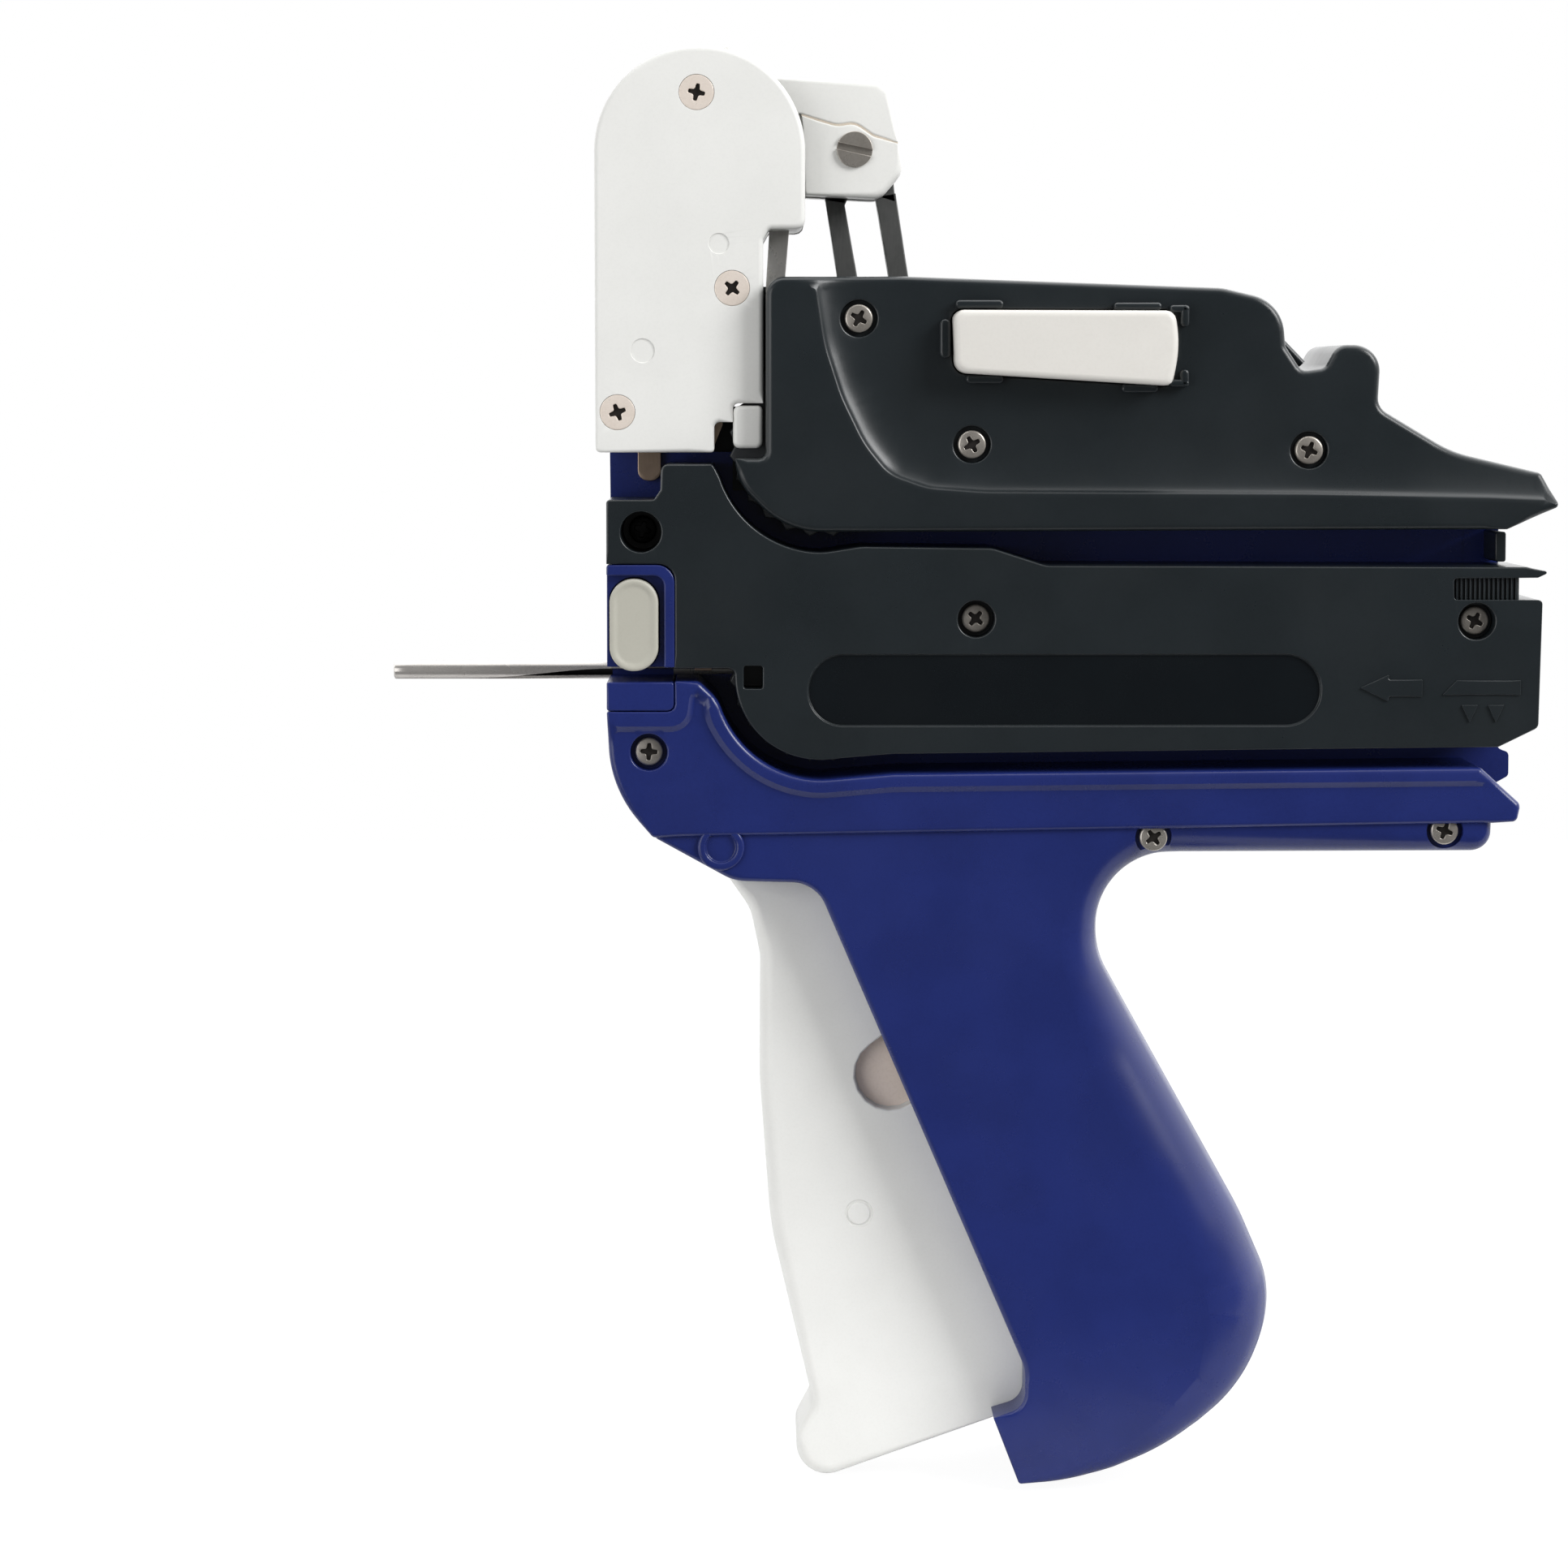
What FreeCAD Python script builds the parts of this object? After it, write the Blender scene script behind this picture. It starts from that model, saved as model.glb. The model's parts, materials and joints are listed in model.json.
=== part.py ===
import FreeCAD, Part
import math
import os

# Hand-held garment tag attacher. Millimetres, +Z up, needle towards -X, the photographed side is -Y.
# The origin is the middle of the hand grip.

# Driving sizes of the housing
body_length = 128.9
body_depth = 31.0
grip_share = 28 / 31
grip_depth = body_depth * grip_share
wall = 2.0
boss_wall = 1.2
shaft_fit = 0.05
part_gap = 0.3
cut_over = 1.0

# Places in the photograph: pixels across and down, with a corner radius in pixels where a corner is round
body_px = 1160
origin_px = (1330, 1440)
mm_per_px = body_length / body_px

near = -body_depth / 2
far = body_depth / 2
grip_near = -grip_depth / 2
grip_far = grip_depth / 2


# Drawing helpers

def at(across, down, depth=0.0):
    """Point of the part at a pixel of the photograph."""
    return FreeCAD.Vector((across - origin_px[0]) * mm_per_px, depth, (origin_px[1] - down) * mm_per_px)


def corner(points, index):
    """Start, middle and end of the rounding at one corner; the middle is None at a sharp corner."""
    here = at(*points[index][:2])
    before = (at(*points[index - 1][:2]) - here).normalize()
    after = (at(*points[(index + 1) % len(points)][:2]) - here).normalize()
    radius = points[index][2] * mm_per_px if len(points[index]) > 2 else 0.0
    if radius == 0:
        return here, None, here
    half = before.getAngle(after) / 2
    reach = radius / math.tan(half)
    middle = here + (before + after).normalize() * (radius / math.sin(half) - radius)
    return here + before * reach, middle, here + after * reach


def outline(points):
    """Flat face in the XZ plane through rounded or sharp corners."""
    corners = [corner(points, index) for index in range(len(points))]
    edges = []
    for index, (start, middle, end) in enumerate(corners):
        if middle is not None:
            edges.append(Part.Arc(start, middle, end).toShape())
        following = corners[(index + 1) % len(corners)][0]
        if not end.isEqual(following, mm_per_px * 1e-4):
            edges.append(Part.makeLine(end, following))
    return Part.Face(Part.Wire(edges))


def slab(face, low, high):
    """The outline made solid from depth low to depth high."""
    moved = face.copy()
    moved.translate(FreeCAD.Vector(0, low, 0))
    return moved.extrude(FreeCAD.Vector(0, high - low, 0))


def plate(points, low, high):
    return slab(outline(points), low, high)


def block(left, top, right, bottom, low, high):
    return plate([(left, top), (right, top), (right, bottom), (left, bottom)], low, high)


def rod(place_px, radius, low, high):
    """Cylinder along Y at a pixel place."""
    return Part.makeCylinder(radius, high - low, at(place_px[0], place_px[1], low), FreeCAD.Vector(0, 1, 0))


def ring(place_px, outer, inner, low, high):
    return rod(place_px, outer, low, high).cut(rod(place_px, inner, low, high))


def joined(first, *others):
    return first.fuse(list(others)).removeSplitter()


# Case screws: pan head, cross recess, seated in a counterbore on a boss
screw_shank_r = 1.0
screw_head_r = 1.9
screw_head_h = 1.5
screw_hole_r = 2.4
screw_sink = 1.6
screw_deep_sink = 9.5
screw_long = 24.0
deep_screw_long = 17.5
cross_width = 0.55
cross_length = 2.2
cross_deep = 0.8
boss_r = screw_hole_r + boss_wall
far_boss_r = screw_shank_r + boss_wall

upper_screws_px = [(1057, 392), (1195, 545), (1606, 552)]
lower_screws_px = [(1200, 757), (1810, 760)]
deep_screw_px = (792, 651)
housing_screws_px = [(801, 920), (1419, 1026), (1776, 1018)]
head_screws_px = [(860, 118), (903, 355), (763, 506)]


def cross_cut(place_px, face_y):
    """Cross recess in a screw head whose face lies at face_y."""
    bars = []
    for size_x, size_z in ((cross_length, cross_width), (cross_width, cross_length)):
        start = at(*place_px, face_y - cut_over) - FreeCAD.Vector(size_x / 2, 0, size_z / 2)
        bars.append(Part.makeBox(size_x, cross_deep + cut_over, size_z, start))
    return bars[0].fuse(bars[1])


def pan_screw(place_px, head_y, end_y):
    """Screw with its head face at head_y and its tip at end_y."""
    head = rod(place_px, screw_head_r, head_y, head_y + screw_head_h)
    shank = rod(place_px, screw_shank_r, head_y, end_y)
    return head.fuse(shank).cut(cross_cut(place_px, head_y))


def screw_hole(place_px, face_y, sink):
    """Counterbore for the head and a close hole for the shank, through to the middle."""
    seat = face_y + sink + screw_head_h
    head_room = rod(place_px, screw_hole_r, face_y - cut_over, seat)
    return head_room.fuse(rod(place_px, screw_shank_r, face_y, 0))


# Feed wheels: one behind each curved stretch of the feed slots
wheel_teeth = 24
wheel_tip_px = 114.3
wheel_root_px = 105.3
wheel_tip_r = wheel_tip_px * mm_per_px
wheel_root_r = wheel_root_px * mm_per_px
wheel_deep = 6.5
wheel_shaft_r = 1.6
wheel_collar_r = 3.0
wheel_y = -9.2
upper_wheel_px = (1013, 545)
lower_wheel_px = (1013, 822)
slot_outer_px = 131.4
slot_outer_r = slot_outer_px * mm_per_px


def feed_wheel(place_px):
    """Ratchet wheel with pointed teeth and a bored hub."""
    centre = at(*place_px, wheel_y)
    points = []
    for index in range(2 * wheel_teeth):
        angle = math.pi * index / wheel_teeth
        radius = wheel_tip_r if index % 2 else wheel_root_r
        points.append(centre + FreeCAD.Vector(radius * math.cos(angle), 0, radius * math.sin(angle)))
    face = Part.Face(Part.makePolygon(points + points[:1]))
    body = face.extrude(FreeCAD.Vector(0, wheel_deep, 0))
    return body.cut(rod(place_px, wheel_shaft_r + shaft_fit, wheel_y, wheel_y + wheel_deep))


def wheel_room(place_px):
    """Space that a wheel turns in, cut out of the cover that holds it."""
    return rod(place_px, wheel_tip_r + part_gap, wheel_y - part_gap, wheel_y + wheel_deep + part_gap)


def feed_shaft(place_px):
    """Stub shaft on the inside of a cover, with a collar that the wheel runs against."""
    shaft = rod(place_px, wheel_shaft_r, near + wall, wheel_y + wheel_deep + part_gap)
    return joined(shaft, rod(place_px, wheel_collar_r, near + wall, wheel_y - shaft_fit))


# Ejector: a rod pushed along the needle by a carriage that a lever swings
needle_r = 1.25
needle_neck_r = 1.65
needle_bore_r = 0.85
needle_base_r = 2.0
needle_slot = 0.8
needle_slot_turn = 50.0
needle_row_px = 828
needle_tip_px = 480
needle_neck_px = 750
needle_cone_px = 768
needle_base_px = 774
needle_end_px = 831
ejector_r = 0.65
ejector_tip_px = 829
stroke_px = 330
carriage_px = 1270
carriage_half_px = 55
carriage_half_h = 1.9
fork_half_px = 38
fork_top_px = 795
fork_bottom_px = 876
fork_thick = 2.0
fork_room = 0.9
track_thick = 2.0
lever_pivot_px = (1105, 1100)
lever_arm_px = 300
lever_nose_px = 55
lever_r = 2.8
lever_thick = 2.0
lever_pin_r = 1.4
lever_swing = math.asin(stroke_px / 2 / lever_arm_px)
clamp_px = [(774, 801), (836, 801), (836, 856), (774, 856)]
clamp_deep = 4.0

# Trigger: swings about a pin in the boss below the band
trigger_share = 14.6 / 31
trigger_depth = body_depth * trigger_share
trigger_wall = 2.2
trigger_swing_deg = 12.0
trigger_pivot_px = (889, 1037)
trigger_pin_r = 1.7
trigger_hub_r = 2.8
trigger_side = trigger_depth / 2
lever_y = trigger_side + part_gap
fork_y = lever_y - part_gap - fork_thick
spring_wire = 0.9
spring_long = 1.8
boss_outer_r = 3.4
boss_inner_r = 2.3
boss_proud = 0.5
mouth_half = trigger_side + part_gap
stop_slot_px = (1099, 1328)
stop_slot_r = 5.0
stop_slot_wall = 2.0
stop_boss_r = 4.4
stop_spare_deg = 1.0
path_steps = 8
trigger_px = [(884, 1062), (925, 1122, 60), (937, 1180, 90), (936, 1330, 400), (950, 1520, 400),
              (1001, 1728, 30), (982, 1768, 20), (984, 1815, 24), (1030, 1822, 24), (1222, 1745),
              (1300, 1716, 20), (1318, 1640, 60), (1256, 1400), (1240, 1240, 120), (1196, 1092, 20),
              (1010, 1044), (900, 1012)]
hollow_px = [(985, 1110), (1170, 1115), (1215, 1260), (1230, 1400), (1290, 1640), (1270, 1700), (1040, 1780),
             (1020, 1720), (975, 1520), (962, 1330), (963, 1180)]
mouth_px = [(905, 1040), (1000, 1040), (1060, 1090), (1300, 1660), (1298, 1725), (1240, 1775), (1190, 1790),
            (860, 1100), (860, 1040)]

# Housing outlines
band_px = [(750, 833), (1013, 833), (1013, 955), (1100, 946, 60), (1817, 939, 8), (1868, 985, 8),
           (1863, 1006, 6), (1834, 1008), (806, 1025, 6), (750, 940, 120)]
grip_px = [(806, 960), (1834, 960), (1834, 1044, 24), (1351, 1049, 98), (1352, 1170, 80), (1535, 1500, 400),
           (1576, 1604, 130), (1543, 1704, 130), (1440, 1782, 200), (1330, 1822, 100), (1255, 1824, 4),
           (1225, 1747), (1264, 1735, 25), (1264, 1686, 50), (1005, 1082, 45), (905, 1080, 60), (806, 1025, 10)]
body_px_far = [(750, 556), (903, 556), (903, 603), (1840, 603), (1840, 1007), (806, 1025, 6), (750, 940, 120)]
frame_px = [(750, 834), (851, 834), (851, 888), (750, 888)]
lower_block_px = [(750, 834), (832, 834, 8), (832, 869, 8), (750, 869)]
upper_block_px = [(750, 691), (833, 691, 22), (833, 816), (750, 816)]
pill_px = [(754, 708, 29), (813, 708, 29), (813, 820, 29), (754, 820, 29)]
pill_proud = 0.8
pill_long = 4.0
pill_press = 1.5
pill_spring_px = (783, 760)
track_px = [(822, 580), (876, 580), (876, 630), (1815, 630), (1815, 985), (800, 985), (774, 900), (774, 640),
            (822, 640)]
window_px = [(878, 808), (1332, 808), (1332, 848), (878, 848)]

# Lower cover
lower_cover_px = [(750, 612), (809, 612), (816, 600), (816, 571, 6), (950, 571), (1013, 676), (1060, 669, 60),
                  (1220, 671, 30), (1285, 692, 30), (1884, 694), (1899, 700), (1884, 706), (1863, 708),
                  (1863, 734), (1890, 734, 5), (1887, 890, 8), (1838, 914, 8), (1100, 922, 60),
                  (1013, 929), (906, 929, 106), (906, 817), (833, 817), (833, 690), (750, 690)]
recess_px = [(995, 800, 43), (1621, 800, 43), (1621, 888, 43), (995, 888, 43)]
recess_deep = 0.5
peg_hole_px = [(917, 814), (940, 814), (940, 842), (917, 842)]

# Upper cover: its top line is shared by the two halves
cover_top_px = [(944, 342, 22), (1110, 341), (1500, 355, 60), (1572, 372, 50), (1577, 426, 10), (1597, 456, 12),
                (1625, 452, 10), (1640, 424, 20), (1694, 424, 32), (1690, 500, 20), (1780, 554, 150),
                (1889, 580, 8)]
cover_front_px = [(907, 562), (944, 562)]
cover_near_px = cover_top_px + [(1910, 620, 5), (1846, 648), (1100, 651), (969, 651, 105), (907, 589, 62),
                                *cover_front_px]
cover_far_px = cover_top_px + [(1896, 600), (907, 600)] + cover_front_px
dish_px = [(1003, 352), (1480, 366), (1560, 400), (1600, 470), (1690, 520), (1850, 590), (1600, 605),
           (1141, 600, 60), (1062, 550, 80), (1014, 425, 60)]
dish_deep = 0.8
link_window_px = [(1008, 330), (1136, 330), (1136, 366), (1008, 366)]
button_px = [(1171, 382, 10), (1431, 382, 14), (1444, 421, 40), (1431, 472, 14), (1178, 457, 10)]
button_proud = 2.5
button_room = 0.2
button_rim = 1.0
button_rim_y = near + wall + shaft_fit
spring_outer_r = 2.4
spring_inner_r = 1.7
spring_post_r = 3.0
spring_end = -5.0
release_spring_px = (1305, 420)
tab_proud = 0.8
tabs_px = [(1174, 371, 1232, 379), (1364, 372, 1423, 379), (1187, 463, 1231, 470), (1378, 476, 1419, 483),
           (1154, 394, 1168, 440), (1447, 376, 1458, 401), (1447, 454, 1458, 474)]

# Head: two white plates with a wall between them, a rocker, a link and a blade
head_depth = 24.0
head_plate = 2.5
head_screw_r = 2.4
head_screw_h = 1.3
head_boss_r = 1.9
head_near = -head_depth / 2
head_far = head_depth / 2
plate_in = head_far - head_plate
head_px = [(735, 62, 128), (992, 62, 128), (992, 283, 10), (948, 283, 4), (941, 296), (941, 495), (904, 495),
           (904, 518), (881, 518), (881, 555, 4), (736, 555, 6)]
head_wall_px = [(735, 62, 128), (900, 62), (900, 84), (757, 84, 106), (757, 535), (881, 535), (881, 555, 4),
                (736, 555, 6)]
head_rear_px = [(922, 262), (992, 262), (992, 283, 10), (948, 283, 4), (941, 296), (941, 425), (922, 425)]
latch_px = [(904, 498, 8), (940, 498, 4), (940, 550, 8), (904, 550, 8)]
strap_px = [(954, 262), (977, 262), (966, 358), (941, 358)]
strap_half = 1.2
blade_left_px = 785
blade_right_px = 814
blade_end_px = 592
blade_px = [(803, 112), (blade_right_px, 112), (blade_right_px, blade_end_px, 13),
            (blade_left_px, blade_end_px, 13), (blade_left_px, 130)]
blade_half = 1.0
blade_eye_px = (800, 134)
rocker_half = 6.0
rocker_arm_y = blade_half + part_gap
rocker_arm_thick = 3.0
rocker_sleeve_r = 1.7
nub_r = 0.7
eye_room = 0.45
rocker_px = [(965, 97), (1083, 103, 8), (1096, 112, 8), (1106, 178), (1113, 212, 12), (1080, 245, 12), (992, 240)]
rocker_arm_px = [(792, 122, 7), (840, 100, 30), (900, 102), (972, 102), (972, 160), (885, 150), (835, 148, 20),
                 (792, 144, 7)]
cheek_px = [(988, 145), (1032, 158, 30), (1053, 154, 22), (1076, 170, 16), (1106, 179), (1113, 212, 12),
            (1080, 245, 12), (992, 240)]
brow_px = [(965, 97), (1083, 103, 8), (1096, 112, 8), (1105, 174), (1076, 166, 16), (1053, 150, 22),
           (1032, 154, 30), (988, 141), (965, 140)]
cheek_thick = 1.5
pocket_px = [(1008, 138), (1130, 138), (1130, 262), (980, 262), (985, 225), (1000, 190)]
link_screw_px = (1053, 185)
link_screw_r = 1.0
link_screw_head_r = 2.4
link_screw_head_h = 1.0
link_half = 2.0
link_eye_r = 2.2
link_yoke_px = [(1020, 150), (1100, 150), (1105, 247), (1081, 240), (1078, 222), (1044, 222), (1042, 249),
                (1018, 245)]
link_left_px = [(1018, 245), (1042, 245), (1059, 350), (1034, 350)]
link_right_px = [(1081, 240), (1105, 247), (1121, 346), (1131, 422), (1104, 422), (1097, 346)]
link_cross_px = [(1034, 344), (1121, 344), (1123, 357), (1036, 357)]

# Small parts round the feed
knife_upper_px = [(866, 490), (891, 490), (891, 522), (881, 547), (874, 547)]
knife_lower_px = [(851, 800), (883, 800), (877, 824), (857, 824)]
knife_y = -9.0
knife_thick = 1.5
pawls_px = {"upper_pawl_spring": [(1112, 476), (1158, 440), (1164, 446), (1118, 482)],
            "lower_pawl_spring": [(1119, 872), (1164, 890), (1160, 898), (1121, 881)]}
pawl_deep = 5.0
post_px = [(1842, 653), (1855, 653), (1855, 690), (1842, 690)]
post_low = -9.0
post_high = 12.0


def turned(place_px, about_px, degrees):
    """Pixel place swung about another one, the way a squeezed trigger swings."""
    across = place_px[0] - about_px[0]
    down = place_px[1] - about_px[1]
    angle = math.radians(degrees)
    return (about_px[0] + across * math.cos(angle) + down * math.sin(angle),
            about_px[1] + down * math.cos(angle) - across * math.sin(angle))


stop_px = turned(stop_slot_px, trigger_pivot_px, trigger_swing_deg + stop_spare_deg)
lever_end_px = (lever_pivot_px[0] + lever_arm_px * math.sin(lever_swing),
                lever_pivot_px[1] - lever_arm_px * math.cos(lever_swing))
lever_tip_px = (lever_pivot_px[0] + lever_nose_px * math.cos(lever_swing),
                lever_pivot_px[1] + lever_nose_px * math.sin(lever_swing))


def grown(points, distance):
    """The outline's face, made larger or smaller all round by one distance."""
    return outline(points).makeOffset2D(distance)


def bosses(places_px, radius, low, high, within):
    """Round pillars for screws, kept inside a solid."""
    pillars = rod(places_px[0], radius, low, high)
    for place in places_px[1:]:
        pillars = pillars.fuse(rod(place, radius, low, high))
    return pillars.common(within)


def lengthwise(radius, left_px, right_px):
    """Cylinder along the needle's axis between two pixel columns."""
    start = at(left_px, needle_row_px)
    return Part.makeCylinder(radius, (right_px - left_px) * mm_per_px, start, FreeCAD.Vector(1, 0, 0))


def bar(from_px, to_px, radius, low, high):
    """Flat arm with round ends between two pixel places."""
    start = at(*from_px)
    end = at(*to_px)
    along = (end - start).normalize()
    side = FreeCAD.Vector(-along.z, 0, along.x) * radius
    face = Part.Face(Part.makePolygon([start + side, end + side, end - side, start - side, start + side]))
    return joined(slab(face, low, high), rod(from_px, radius, low, high), rod(to_px, radius, low, high))


# Housing

def grip_shell_near():
    """Band under the lower slot and the near side of the grip, with the frame of the lower block."""
    band = slab(outline(band_px), near, 0)
    grip = slab(outline(grip_px), grip_near, 0)
    whole = band.fuse(grip)
    room = slab(grown(band_px, -wall), near + wall, 0).fuse(slab(grown(grip_px, -wall), grip_near + wall, 0))
    room = room.cut(rod(lower_wheel_px, slot_outer_r + wall, near, 0))
    shell = whole.cut(room)
    shell = shell.fuse(plate(frame_px, near, 0))
    shell = shell.fuse(bosses(housing_screws_px, boss_r, near, 0, whole))
    shell = shell.fuse(rod(stop_px, stop_boss_r, grip_near + wall / 2, 0))
    shell = shell.cut(plate(mouth_px, -mouth_half, 0))
    shell = shell.cut(rod(trigger_pivot_px, trigger_hub_r + part_gap, -mouth_half, 0))
    shell = shell.fuse(rod(trigger_pivot_px, boss_outer_r, grip_near - boss_proud, -mouth_half))
    shell = shell.cut(rod(trigger_pivot_px, boss_inner_r, grip_near - boss_proud, grip_near))
    shell = shell.cut(rod(trigger_pivot_px, trigger_pin_r, grip_near + wall / 2, 0))
    shell = shell.cut(rod(lower_wheel_px, slot_outer_r, near - cut_over, 0))
    shell = shell.cut(slab(outline(lower_block_px), near - cut_over, 0)).cut(needle_bore())
    for place in housing_screws_px:
        shell = shell.cut(screw_hole(place, near, screw_sink))
    return shell.removeSplitter()


def grip_shell_far():
    """Far side of the body and the grip, open at the front for the trigger."""
    whole = slab(outline(body_px_far), 0, far).fuse(slab(outline(grip_px), 0, grip_far))
    room = slab(grown(body_px_far, -wall), 0, far - wall).fuse(slab(grown(grip_px, -wall), 0, grip_far - wall))
    shell = whole.cut(room)
    shell = shell.fuse(bosses(lower_screws_px + [deep_screw_px], far_boss_r, track_thick, far, whole))
    shell = shell.fuse(bosses(housing_screws_px, far_boss_r, 0, far, whole))
    shell = shell.fuse(rod(stop_px, stop_boss_r, 0, grip_far - wall / 2))
    shell = shell.cut(plate(mouth_px, 0, mouth_half))
    shell = shell.cut(rod(trigger_pivot_px, trigger_hub_r + part_gap, 0, mouth_half))
    boss_start = trigger_side + spring_long + 2 * part_gap
    spring_r = trigger_pin_r + 2 * shaft_fit + spring_wire
    shell = shell.cut(rod(trigger_pivot_px, spring_r + part_gap, 0, boss_start))
    shell = shell.fuse(rod(trigger_pivot_px, boss_outer_r, boss_start, grip_far + boss_proud))
    shell = shell.cut(rod(trigger_pivot_px, trigger_pin_r, 0, grip_far - wall / 2))
    shell = shell.fuse(rod(lever_pivot_px, lever_r, lever_y + lever_thick + part_gap, grip_far - wall / 2))
    shell = shell.cut(rod(lever_pivot_px, lever_pin_r, 0, grip_far - wall / 2))
    shell = shell.cut(lengthwise(needle_neck_r + shaft_fit, needle_neck_px - carriage_half_px, needle_base_px))
    shell = shell.cut(blade_way())
    for place in housing_screws_px + lower_screws_px:
        shell = shell.cut(rod(place, screw_shank_r, 0, near + screw_sink + screw_long))
    shell = shell.cut(rod(deep_screw_px, screw_shank_r, 0, near + screw_deep_sink + deep_screw_long))
    return shell.removeSplitter()


def blade_way():
    """Room in the housing and the head for the sliding blade."""
    side = part_gap
    start = at(blade_left_px, blade_end_px, -blade_half - side) - FreeCAD.Vector(side, 0, 2 * wall)
    long = at(*blade_px[0]).z - start.z
    across = (blade_right_px - blade_left_px) * mm_per_px + 2 * side
    return Part.makeBox(across, 2 * (blade_half + side), long, start)


def track_plate():
    """Inner plate that is the floor of both feed slots."""
    floor = plate(track_px, 0, track_thick)
    floor = floor.cut(plate(window_px, -cut_over, track_thick + cut_over))
    floor = floor.cut(slab(grown(clamp_px, shaft_fit), -cut_over, track_thick + cut_over))
    floor = floor.cut(lengthwise(ejector_r + part_gap, needle_base_px, window_px[1][0]))
    floor = floor.cut(rod(housing_screws_px[0], far_boss_r + part_gap, -cut_over, track_thick + cut_over))
    for place in lower_screws_px + [deep_screw_px]:
        floor = floor.cut(rod(place, screw_shank_r, -cut_over, track_thick + cut_over))
    return floor


def lower_cover():
    """Black cover between the two feed slots."""
    whole = plate(lower_cover_px, near, 0).cut(rod(upper_wheel_px, slot_outer_r, near - cut_over, 0))
    room = slab(grown(lower_cover_px, -wall), near + wall, 0)
    room = room.cut(rod(upper_wheel_px, slot_outer_r + wall, near, 0))
    cover = whole.cut(room)
    cover = cover.fuse(bosses(lower_screws_px, boss_r, near, 0, whole))
    cover = cover.fuse(bosses([deep_screw_px], boss_r, near, 0, whole))
    cover = cover.cut(wheel_room(lower_wheel_px))
    cover = cover.cut(plate(recess_px, near - cut_over, near + recess_deep))
    cover = cover.cut(plate(peg_hole_px, near - cut_over, near + wall))
    cover = cover.cut(lengthwise(ejector_r + part_gap, needle_end_px, window_px[1][0]))
    cover = cover.cut(plate(window_px, -track_thick - part_gap, 0))
    cover = cover.cut(plate(knife_lower_px, knife_y, knife_y + knife_thick))
    for place in lower_screws_px:
        cover = cover.cut(screw_hole(place, near, screw_sink))
    return cover.cut(screw_hole(deep_screw_px, near, screw_deep_sink)).removeSplitter()


def upper_cover_near():
    """Near half of the upper cover, with its shallow dish and the window of the release button."""
    whole = plate(cover_near_px, near, 0)
    cover = whole.cut(slab(grown(cover_near_px, -wall), near + wall, 0))
    cover = cover.fuse(bosses(upper_screws_px, boss_r, near, 0, whole))
    for left, top, right, bottom in tabs_px:
        cover = cover.fuse(block(left, top, right, bottom, near - tab_proud, near + wall))
    cover = cover.cut(plate(dish_px, near - tab_proud - cut_over, near + dish_deep).cut(tab_blocks()))
    cover = cover.cut(wheel_room(upper_wheel_px))
    cover = cover.cut(slab(grown(button_px, button_room), near - cut_over, near + wall))
    cover = cover.cut(plate(link_window_px, -link_half - part_gap, 0))
    cover = cover.cut(plate(strap_px, -strap_half, 0))
    for place in upper_screws_px:
        cover = cover.cut(screw_hole(place, near, screw_sink))
    return cover.removeSplitter()


def tab_blocks():
    """The small clip lugs round the release button."""
    low = near - tab_proud
    lugs = [block(left, top, right, bottom, low, near + wall) for left, top, right, bottom in tabs_px]
    return lugs[0].fuse(lugs[1:])


def upper_cover_far():
    """Far half of the upper cover, with the post that carries the release spring."""
    whole = plate(cover_far_px, 0, far)
    cover = whole.cut(slab(grown(cover_far_px, -wall), 0, far - wall))
    cover = cover.fuse(bosses(upper_screws_px, far_boss_r, 0, far, whole))
    cover = cover.fuse(rod(release_spring_px, spring_post_r, spring_end, far - wall / 2))
    cover = cover.cut(plate(link_window_px, 0, link_half + part_gap))
    cover = cover.cut(plate(strap_px, 0, strap_half))
    for place in upper_screws_px:
        cover = cover.cut(rod(place, screw_shank_r, 0, near + screw_sink + screw_long))
    return cover.removeSplitter()


def rear_guide_post():
    return plate(post_px, post_low, post_high)


# Needle and its clamp

def needle():
    """Hollow slotted needle that widens to its base."""
    shaft = lengthwise(needle_r, needle_tip_px, needle_neck_px)
    neck = lengthwise(needle_neck_r, needle_neck_px, needle_cone_px)
    base = lengthwise(needle_base_r, needle_base_px, needle_end_px)
    cone_long = (needle_base_px - needle_cone_px) * mm_per_px
    cone = Part.makeCone(needle_neck_r, needle_base_r, cone_long, at(needle_cone_px, needle_row_px),
                         FreeCAD.Vector(1, 0, 0))
    whole = shaft.fuse([neck, cone, base])
    whole = whole.cut(lengthwise(needle_bore_r, needle_tip_px, needle_end_px))
    start = at(needle_tip_px, needle_row_px) - FreeCAD.Vector(cut_over, needle_slot / 2, 2 * needle_base_r)
    long = (needle_end_px - needle_tip_px) * mm_per_px + 2 * cut_over
    slot = Part.makeBox(long, needle_slot, 2 * needle_base_r, start)
    slot.rotate(at(needle_tip_px, needle_row_px), FreeCAD.Vector(1, 0, 0), -needle_slot_turn)
    return whole.cut(slot)


def needle_bore():
    """Seat of the needle in the blocks and the clamp."""
    front = lengthwise(needle_neck_r + shaft_fit, needle_neck_px - carriage_half_px, needle_base_px)
    return front.fuse(lengthwise(needle_base_r + shaft_fit, needle_cone_px, needle_end_px + carriage_half_px))


def needle_clamp():
    return plate(clamp_px, 0, clamp_deep).cut(needle_bore())


def upper_needle_block():
    """Blue block above the needle, with the well of the needle button."""
    whole = plate(upper_block_px, near, 0)
    well_end = near - pill_proud + pill_long + pill_press + part_gap
    well = slab(grown(pill_px, button_room), near - cut_over, well_end)
    whole = whole.cut(well).cut(needle_bore())
    return whole.cut(rod(pill_spring_px, spring_outer_r + button_room, near, spring_end))


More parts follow.
